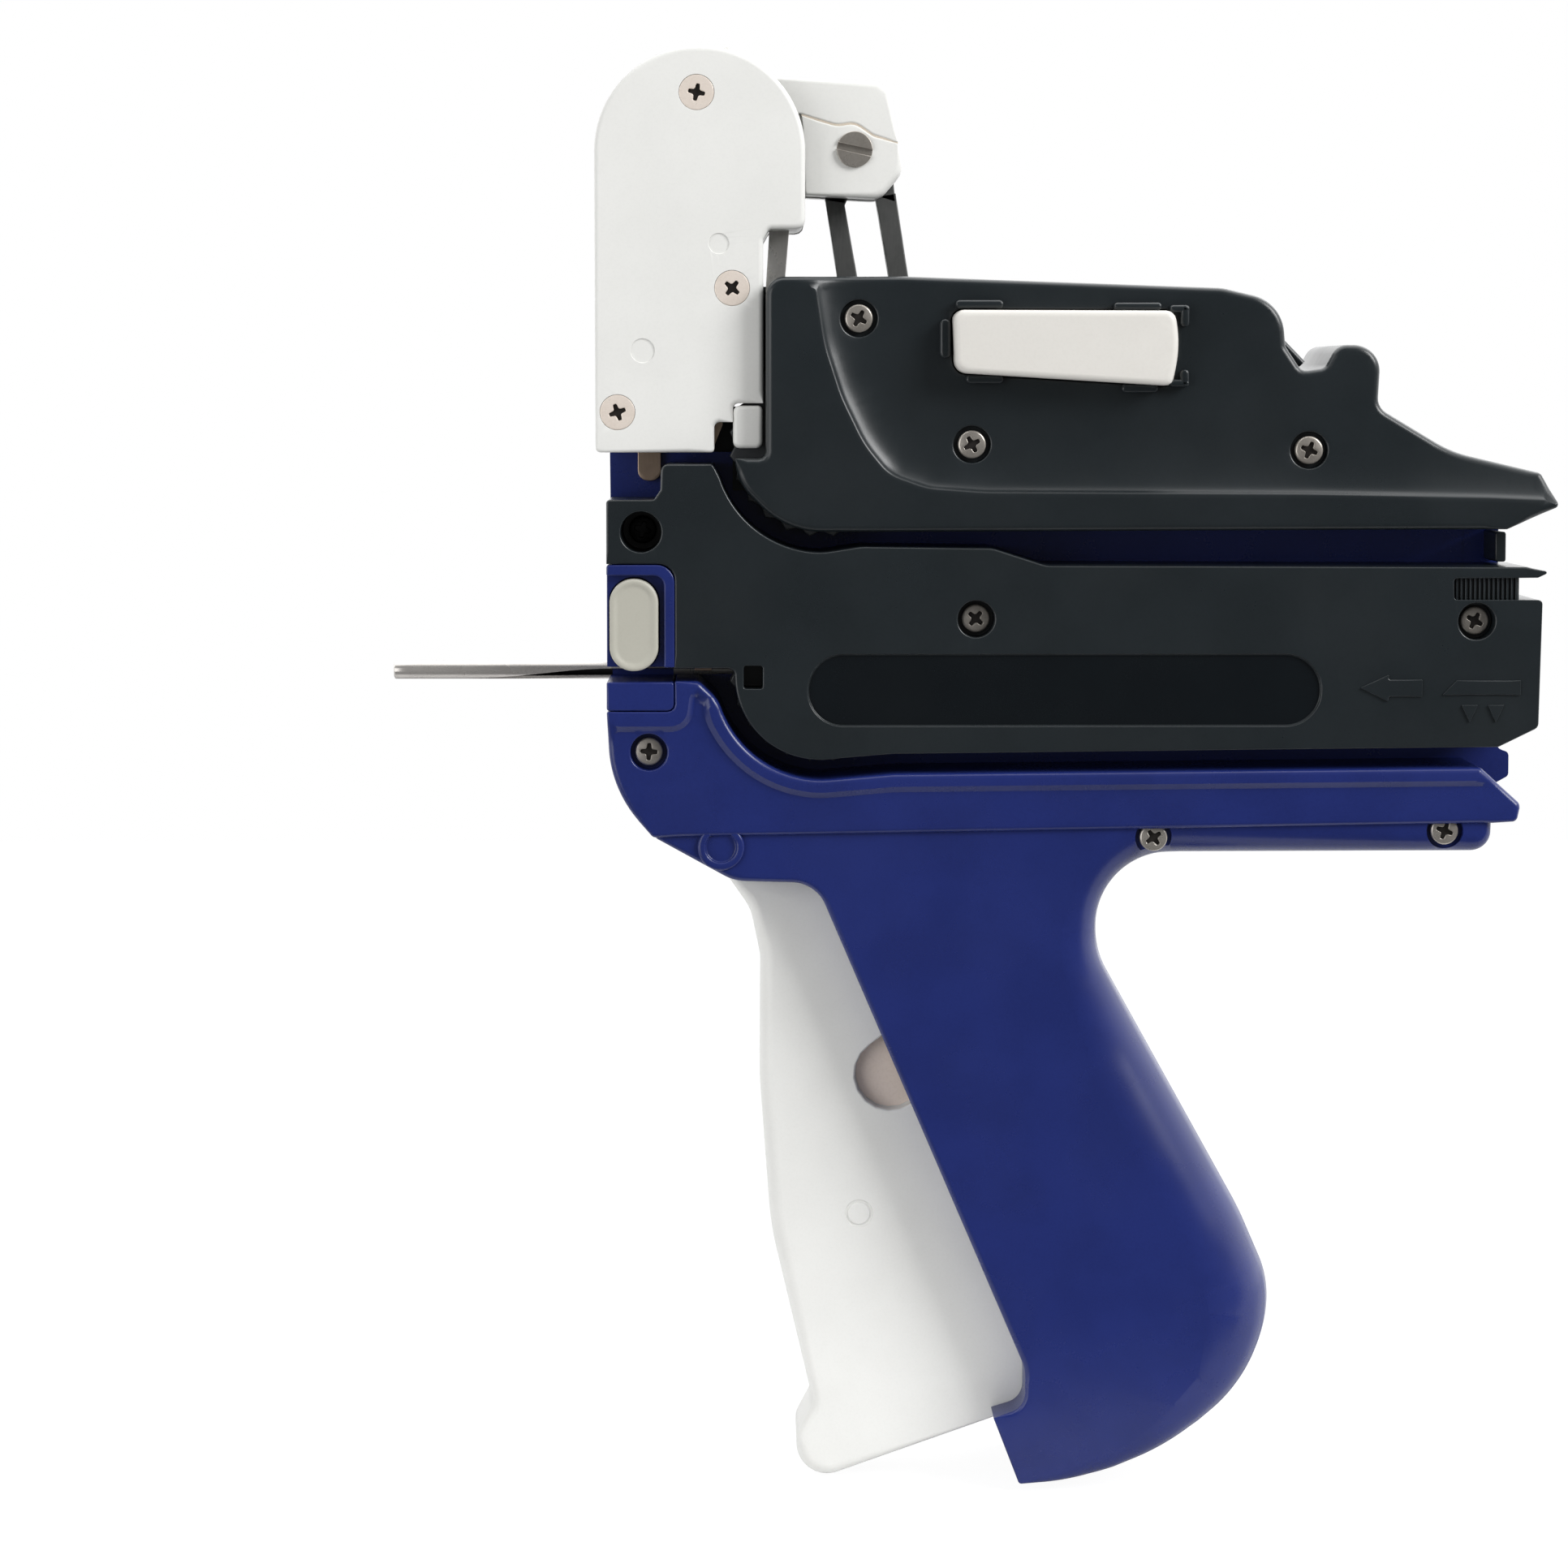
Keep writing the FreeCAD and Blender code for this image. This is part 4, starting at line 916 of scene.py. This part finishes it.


# Inside of the head, all white acetal: walls, a latch block at the foot, and the rocker, a forked block on
# an arm that swings on a pin. A cheek plate closes the rocker's near side; a brown strip laid in the seam
# round it is painted shade of the gap.

head_half = 9.5 * mm
wall_places = [(736, 62, 127), (900, 62), (900, 84), (757, 84, 106), (757, 535), (880, 535), (880, 554, 4),
               (737, 554, 6)]
rear_wall_places = [(922, 262), (991, 262), (991, 282, 10), (948, 282, 4), (940, 296), (940, 425),
                    (922, 425)]
walls = [moulded(outline(places, 0.2), -head_half, head_half, 1.0)
         for places in (wall_places, rear_wall_places)]
piece("head_walls", walls, white, stands_for="head_spacer")
latch_places = [(904, 498, 8), (940, 498, 5), (940, 550, 8), (904, 550, 8)]
rear_web = (4.5 * mm, 6 * mm)
piece("latch_block", [moulded(outline(latch_places, 0.6), head_side, -head_half, 0.4)], white,
      stands_for="head_latch_block")

web_places = [(876, 500), (938, 500), (938, 350), (950, 350), (950, 560), (876, 560)]
piece("strip_web", [moulded(outline(web_places, 0.1), *rear_web)], black)

rocker_half = 6 * mm
rocker_face = -rocker_half - 1.5 * mm
rocker_places = [(942, 96), (1083, 103, 12, 0.9), (1096, 112, 10, 0.9), (1106, 178, 20, 0.9),
                 (1113, 212, 22, 0.9), (1085, 245, 22, 0.9), (992, 240, 4)]
seam_places = [(988, 143), (1032, 156, 30), (1053, 152, 22), (1076, 168, 16), (1106, 177)]
arm_places = [(792, 122, 7), (840, 100, 30), (900, 102), (972, 102), (972, 160), (885, 150),
              (835, 148, 20), (792, 144, 7)]
fork_room = [(1008, 138), (1130, 138), (1130, 262), (980, 262), (985, 225), (1000, 190)]
seam_half = 0.9
fork_half = 2.3 * mm
nub_place = (800, 134)


def shifted(places, down):
    return [(place[0], place[1] + down, *place[2:]) for place in places]


rocker_solid = moulded(outline(rocker_places, 0.5), -rocker_half, rocker_half, 1.0)
rocker_block = piece("rocker_block", [rocker_solid], white, "rocker", "rocker")
carve(rocker_block, moulded(outline(fork_room, 0.0), -fork_half, fork_half))
brow_places = [(942, 97)] + rocker_places[1:3] + shifted(seam_places, -seam_half)[::-1] + [(942, 138)]
arm = [moulded(outline(arm_places, 0.3), 1.3 * mm, 4.3 * mm, 1.0),
       moulded(circle(nub_place, 0.7 * mm, 0.1 * mm), -1 * mm, 1.5 * mm),
       moulded(outline(brow_places, 0.3), rocker_face, -rocker_half + 0.5 * mm)]
piece("rocker_arm", arm, white, "rocker")
cheek_places = shifted(seam_places, seam_half) + rocker_places[4:]
piece("cheek_plate", [moulded(outline(cheek_places, 0.3), rocker_face, -rocker_half)], white, "rocker",
      "rocker_cheek")
# The seam strip is painted shade: a brownish sheet in the groove between the cheek and the brow.
seam_shade = plastic("seam_shade_brown", (0.58, 0.49, 0.38, 1), (0.70, 0.63, 0.54, 1), 0.6)
seam = shifted(seam_places, -2) + shifted(seam_places, 2)[::-1]
piece("rocker_seam", [moulded(outline(seam, 0.0), rocker_face + 0.14 * mm, -rocker_half)], seam_shade, "rocker")


# Metal parts of the head: a blackened fork link of flat bar, a drawn steel strap, and a tan plated blade
# with its knives, all punched from strip.

def metal(name, colour, deep, rough, drawn=(1.0, 1.0, 1.0), scratch=0.002 * mm, metallic=1.0):
    """Bare or plated metal: streaks along its drawn direction, faint tarnish clouds and uneven polish."""
    finish, tree, shader, place = new_finish(name)
    shader.inputs["Metallic"].default_value = metallic
    stretched = node(tree, "ShaderNodeVectorMath", {"operation": "MULTIPLY"}, {0: place, 1: drawn})
    streaks = noise(tree, stretched, grain * 0.8)
    clouds = noise(tree, place, 3 * mm, 5.0)
    share = clouds.between(0.35, 0.7) * 0.6 + streaks.between(0.3, 0.8) * 0.4
    roughness = clouds.between(0.3, 0.7) * (rough * 0.4) + streaks * (rough * 0.4) + rough * 0.6
    dress(tree, shader, blend_colour(tree, share, colour, deep), roughness, streaks, scratch)
    return finish


upright = (1.0, 1.0, 0.08)
dark_metal = metal("dark_metal", (0.115, 0.117, 0.114, 1), (0.075, 0.077, 0.076, 1), 0.55, upright,
                   metallic=0.6)
bright_steel = metal("bright_steel", (0.50, 0.49, 0.47, 1), (0.40, 0.39, 0.37, 1), 0.30, upright,
                     metallic=0.65)
tan_metal = metal("tan_metal", (0.42, 0.32, 0.25, 1), (0.33, 0.25, 0.19, 1), 0.42, upright)

link_half = 2 * mm
link_bars = [[(1018, 160), (1090, 160), (1100, 200), (1105, 247), (1081, 240), (1078, 225), (1044, 225),
              (1042, 249), (1018, 245)],
             [(1018, 242), (1046, 242), (1042, 251), (1060, 352), (1035, 352)],
             [(1080, 240), (1105, 236), (1122, 346), (1131, 422), (1104, 422), (1098, 346)],
             [(1034, 344), (1121, 344), (1123, 357), (1036, 357)]]
link = [moulded(outline(places, 0.2), -link_half, link_half, 1.0) for places in link_bars]
piece("fork_bars", link, dark_metal, "fork_link", "fork_link")
strap_places = [(950, 262), (975, 262), (967, 358), (944, 358)]
piece("head_strap_dressed", [moulded(outline(strap_places, 0.15), -1.2 * mm, 1.2 * mm, 1.0)], bright_steel,
      stands_for="head_strap")
blade_places = [(803, 112), (814, 112), (814, 592, 13), (785, 592, 13), (785, 130)]
blade = moulded(outline(blade_places, 0.12), -1 * mm, 1 * mm, 1.0,
                cuts=[(circle(nub_place, 1.15 * mm, 0), None, 0.05 * mm, 0.0)])
piece("transfer_blade_dressed", [blade], tan_metal, "transfer_blade", "transfer_blade")
knife_level = -9 * mm
knife_thick = 1.5 * mm
for name, places in (("upper_knife", [(866, 490), (891, 490), (891, 522), (881, 547), (874, 547)]),
                     ("lower_knife", [(851, 800), (883, 800), (877, 824), (857, 824)])):
    knife = moulded(outline(places, 0.15), knife_level, knife_level + knife_thick, 1.0)
    piece(name + "_dressed", [knife], tan_metal, stands_for=name)


# Needle and its seat: a polished slotted tube whose slot opens and turns to the near side towards the root,
# between two blue blocks; the upper block has a raised rim and a well for the pill button.

needle_row = 828
needle_bore = 0.85 * mm
opening_start = 560
opening_run = 190
arc_points = 48
needle_stations = [(480, 1.05), (480.6, 1.17), (482, 1.25), (620, 1.25), (750, 1.25), (751, 1.65),
                   (768, 1.65), (774, 2.0), (831, 2.0)]


def needle_tube(stations, bore):
    """C-shaped section along the needle: an outer arc, an inner arc back, and the slot between them.

    The slot turns from the underside to the near side and opens by a smooth step over its length.
    """
    places, radii = np.array(stations).T
    across = np.sort(np.concatenate([places, np.linspace(500, 749, 26)]))
    radii = np.interp(across, places, radii) * mm
    share = smooth_step((across - opening_start) / opening_run)
    turns = np.radians(12 + 56 * share)
    halves = np.radians(13 + 20 * share)
    swept = np.linspace(0, 1, arc_points)
    shell = Shell()
    rows = []
    axis = at(np.column_stack([across, across * 0 + needle_row]))
    for place, radius, turn, half in zip(axis, radii, turns, halves):
        angle = turn + half + swept * (2 * math.pi - 2 * half)
        ring = np.column_stack([-np.sin(angle), -np.cos(angle)])
        ring = np.vstack([ring * radius, ring[::-1] * bore])
        section = np.column_stack([np.full(len(ring), place[0]), ring[:, 0], place[1] + ring[:, 1]])
        rows.append(shell.add(section))
    shell.wall(rows)
    for row, turned in ((rows[0], False), (rows[-1], True)):
        outer, inner = row[:arc_points], row[arc_points:][::-1]
        faces = np.column_stack([outer[:-1], outer[1:], inner[1:], inner[:-1]])
        shell.faces += (faces[:, ::-1] if turned else faces).tolist()
    return shell


def lengthwise(radius, left, right):
    """Round bar along the needle's axis."""
    ends = at([(left, needle_row), (right, needle_row)])
    return tube(np.column_stack([ends[:, 0], [0, 0], ends[:, 1]]), radius, 48)


polished = metal("polished_steel", (0.56, 0.535, 0.51, 1), (0.50, 0.48, 0.455, 1), 0.26, (0.06, 1.0, 1.0),
                 0.0002 * mm, 0.6)
# A dark lining just inside the needle's bore is painted shade, so that the polished bore looks dark.
bore_shade = plastic("bore_painted_shade", (0.012, 0.011, 0.012, 1), (0.008, 0.007, 0.008, 1), 0.5, shine=0.3)
piece("needle_dressed", [needle_tube(needle_stations, needle_bore)], polished, stands_for="needle",
      sharp=50)
lining = [(place, 0.87) for place, radius in needle_stations]
piece("needle_bore_shade", [needle_tube(lining, needle_bore - 0.04 * mm)], bore_shade, sharp=50)
rim_places = [(750, 691, 3), (833, 691, 22), (833, 816, 2), (820, 816, 2), (820, 704, 12), (750, 704, 2)]
seat_places = [(750, 692, 3), (832, 692, 22), (832, 816), (750, 816)]
seat_level = near_face + 1.7 * mm
seat_block = moulded(outline(seat_places, 0.15), seat_level, 0.0)
upper_block = piece("upper_needle_block_dressed", [seat_block], blue, stands_for="upper_needle_block")
well = outline(pill_places, 0.0)
well[:, :2] -= inward(well) * 0.2 * mm
carve(upper_block, moulded(well, near_face, near_face + 5 * mm))
pill_spring_place = (783, 760)
carve(upper_block, moulded(circle(pill_spring_place, 2.6 * mm, 0), near_face + 4 * mm, -5 * mm))
carve(upper_block, lengthwise(2.05 * mm, 700, 900))
piece("upper_block_rim", [moulded(outline(rim_places, 0.25), near_face, seat_level + 1 * mm)], blue)
block_places = [(750, 834, 2), (832, 834, 3), (832, 869, 8), (750, 869, 3)]
piece("lower_needle_block_dressed", [moulded(outline(block_places, 0.3), near_face, 0.0)], blue,
      stands_for="lower_needle_block")


# Screws: nickel-plated pan heads with a cross recess in the case, flush countersunk ones in the head, a
# black one deep in the lower cover, and a slotted one that holds the rocker's cheek and the fork link.

nickel = metal("nickel_screw", (0.46, 0.43, 0.39, 1), (0.30, 0.275, 0.245, 1), 0.34, metallic=0.7)
head_nickel = metal("head_nickel", (0.86, 0.77, 0.69, 1), (0.74, 0.65, 0.57, 1), 0.36, metallic=0.2)
blackened = metal("blackened", (0.045, 0.045, 0.046, 1), (0.03, 0.03, 0.031, 1), 0.45)
seat_sink = 1.6 * mm
head_high = 1.5 * mm


def cross(place, turn, reach=10.5, half=3.1, waist=4.4):
    """Outline of a cross recess: four tapered arms about a place, turned by an angle."""
    corners = np.array([(reach, -half * 0.75), (reach, half * 0.75), (waist, half), (half, waist)])
    points = []
    for quarter in range(4):
        angle = math.radians(turn) + quarter * math.pi / 2
        rotation = np.array([[math.cos(angle), math.sin(angle)], [-math.sin(angle), math.cos(angle)]])
        points += (corners @ rotation + place).tolist()
    return outline([(x, y, 1.6) for x, y in points], 0.0, 0.4 * mm)


def pan_head(place, turn, top, radius=1.9 * mm, dome=0.25 * mm, edge=0.3 * mm, shank=24 * mm):
    """Low domed head with a cross recess, and its plain shank."""
    centre = at([place])[0]

    def dome_level(points):
        return top + dome * np.sum((points - centre) ** 2, 1) / radius ** 2

    recess = (cross(place, turn), top + 0.85 * mm, 0.08 * mm, 0.11 * mm)
    head = moulded(circle(place, radius, edge, 48), top, top + head_high, cuts=[recess], level=dome_level,
                   spread=0.3 * mm)
    return [head, moulded(circle(place, 1 * mm, 0, 24), top + head_high / 2, top + shank)]


def recess_floor_at(place, turn, top):
    """Dark floor of a cross recess: painted shade in the recess."""
    return moulded(cross(place, turn, 10, 2.9, 4.2), top + 0.5 * mm, top + 0.84 * mm)


groups = {"upper_cover_screws": cover_screws, "lower_cover_screws": lower_screws,
          "housing_screws": housing_screws}
case_top = near_face + seat_sink
recesses = []
for name, screws in groups.items():
    heads = [shell for place, turn in screws for shell in pan_head(place, turn, case_top)]
    piece(name + "_dressed", heads, nickel, stands_for=name)
    recesses += [recess_floor_at(place, turn, case_top) for place, turn in screws]
flush_top = head_side + 0.03 * mm
heads = [shell for place, turn in head_screws
         for shell in pan_head(place, turn, flush_top, 2.38 * mm, 0.0, 0.12 * mm, 22 * mm)]
piece("head_screws_dressed", heads, head_nickel, stands_for="head_screws")
recesses += [recess_floor_at(place, turn, flush_top) for place, turn in head_screws]
# The floors of the cross recesses are painted shade: a dark sheet in each recess.
recess_shade = plastic("cross_recess_shade", (0.016, 0.013, 0.011, 1), (0.010, 0.008, 0.007, 1), 0.5, shine=0.3)
piece("recess_shade_floors", recesses, recess_shade)
deep_top = -6 * mm
piece("deep_screw_dressed", pan_head(deep_screw_place, 15, deep_top, shank=17.5 * mm), blackened,
      stands_for="deep_screw")

slotted_place = (1053, 185)
slotted_top = rocker_face - 0.5 * mm
slotted_radius = 2.45 * mm
slot_half = 0.42 * mm
slot_turn = math.radians(-12)
disc_points = 30
slotted = [moulded(circle(slotted_place, slotted_radius, 0.05 * mm, 48), slotted_top + 0.45 * mm,
                   slotted_top + 1 * mm),
           moulded(circle(slotted_place, 1 * mm, 0, 24), slotted_top + 0.8 * mm, 4 * mm)]
corner_angle = math.asin(slot_half / slotted_radius)
for side in (0, math.pi):
    angle = side + slot_turn + np.linspace(corner_angle, math.pi - corner_angle, disc_points)
    arc = at([slotted_place])[0] + slotted_radius * spokes(angle)
    half_disc = np.column_stack([arc, np.full(disc_points, 0.12 * mm)])
    half_disc[:, 2] = room(half_disc)
    slotted.append(moulded(half_disc, slotted_top, slotted_top + 0.5 * mm))
piece("link_screw_dressed", slotted, nickel, "rocker", "link_screw")


# Feed wheels: two toothed wheels of dark nylon, each on its shaft behind the curved stretch of a feed slot.
# The rear guide post is a square black pin between the halves of the case.

teeth = 24
root_reach = 105.3
tip_reach = 114.3
flank_reach = (root_reach + tip_reach) / 2
wheel_level = -9.2 * mm
wheel_deep = 6.5 * mm
wheel_dark = plastic("wheel_dark", (0.052, 0.057, 0.062, 1), (0.040, 0.044, 0.048, 1), 0.36)
for name, centre in (("upper_feed_wheel", upper_centre), ("lower_feed_wheel", lower_centre)):
    angle = np.arange(4 * teeth) * math.pi / (2 * teeth)
    reach = np.tile([root_reach, flank_reach, tip_reach, flank_reach], teeth) * step
    wheel = at([centre])[0] + reach[:, None] * spokes(angle)
    wheel = np.column_stack([wheel, np.full(4 * teeth, 0.25 * mm)])
    wheel[:, 2] = room(wheel)
    wheel = moulded(wheel, wheel_level, wheel_level + wheel_deep, 1.0,
                    cuts=[(circle(centre, 1.65 * mm), None, 0.1 * mm, 0.0)])
    piece(name + "_dressed", [wheel], wheel_dark, name, name, sharp=25)
post_ends = (-9 * mm, 12 * mm)
post_curve = outline(box(1842, 653, 1855, 690, 3), 0.2)
piece("guide_post", [moulded(post_curve, *post_ends, 1.0)], black, stands_for="rear_guide_post")


# Springs: coiled steel wire, two behind the buttons, and one round the trigger pin with a leg on the trigger
# and one on the housing.

def coil(place, radius, wire, first, last, turns):
    """Round wire wound about a line along Y, as one tube, with its first and last turn lying flat."""
    share = np.linspace(0, 1, int(turns * 26))
    angle = share * turns * 2 * math.pi
    level = first + wire + (last - first - 2 * wire) * smooth_step(share)
    across, up = at([place])[0]
    path = np.column_stack([across + radius * np.cos(angle), level, up + radius * np.sin(angle)])
    return tube(path, wire, 10)


spring_end = -5 * mm
for name, place, first in (("needle_button", pill_spring_place, near_face + 3.2 * mm),
                           ("release_button", (1305, 420), near_face + 3.05 * mm)):
    spring = piece(name + "_coil", [coil(place, 2.05 * mm, 0.3 * mm, first, spring_end, 6)], bright_steel,
                   stands_for=name + "_spring")
    place = at([place])[0]
    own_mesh(spring)
pin_spring = coil(trigger_pivot, 2.2 * mm, 0.4 * mm, 7.6 * mm, 9.4 * mm, 2)
piece("trigger_coil", [pin_spring], bright_steel, stands_for="trigger_spring")


# Inner parts that keep their imported shape, such as pins, shafts and the drive lever: each takes the finish
# of its slot in the record.

finishes = {"black_plastic": black, "blue_plastic": blue, "white_plastic": white, "grey_plastic": pill_grey,
            "nickel_screw": nickel, "dark_metal": dark_metal, "tan_metal": tan_metal,
            "bright_steel": bright_steel}
for part in frame["record"]["subparts"]:
    for name in part.get("nodes", [part.get("node")]):
        solid = frame["nodes"][name]
        solid.data.materials.clear()
        solid.data.materials.append(finishes[part["material_slot"]])
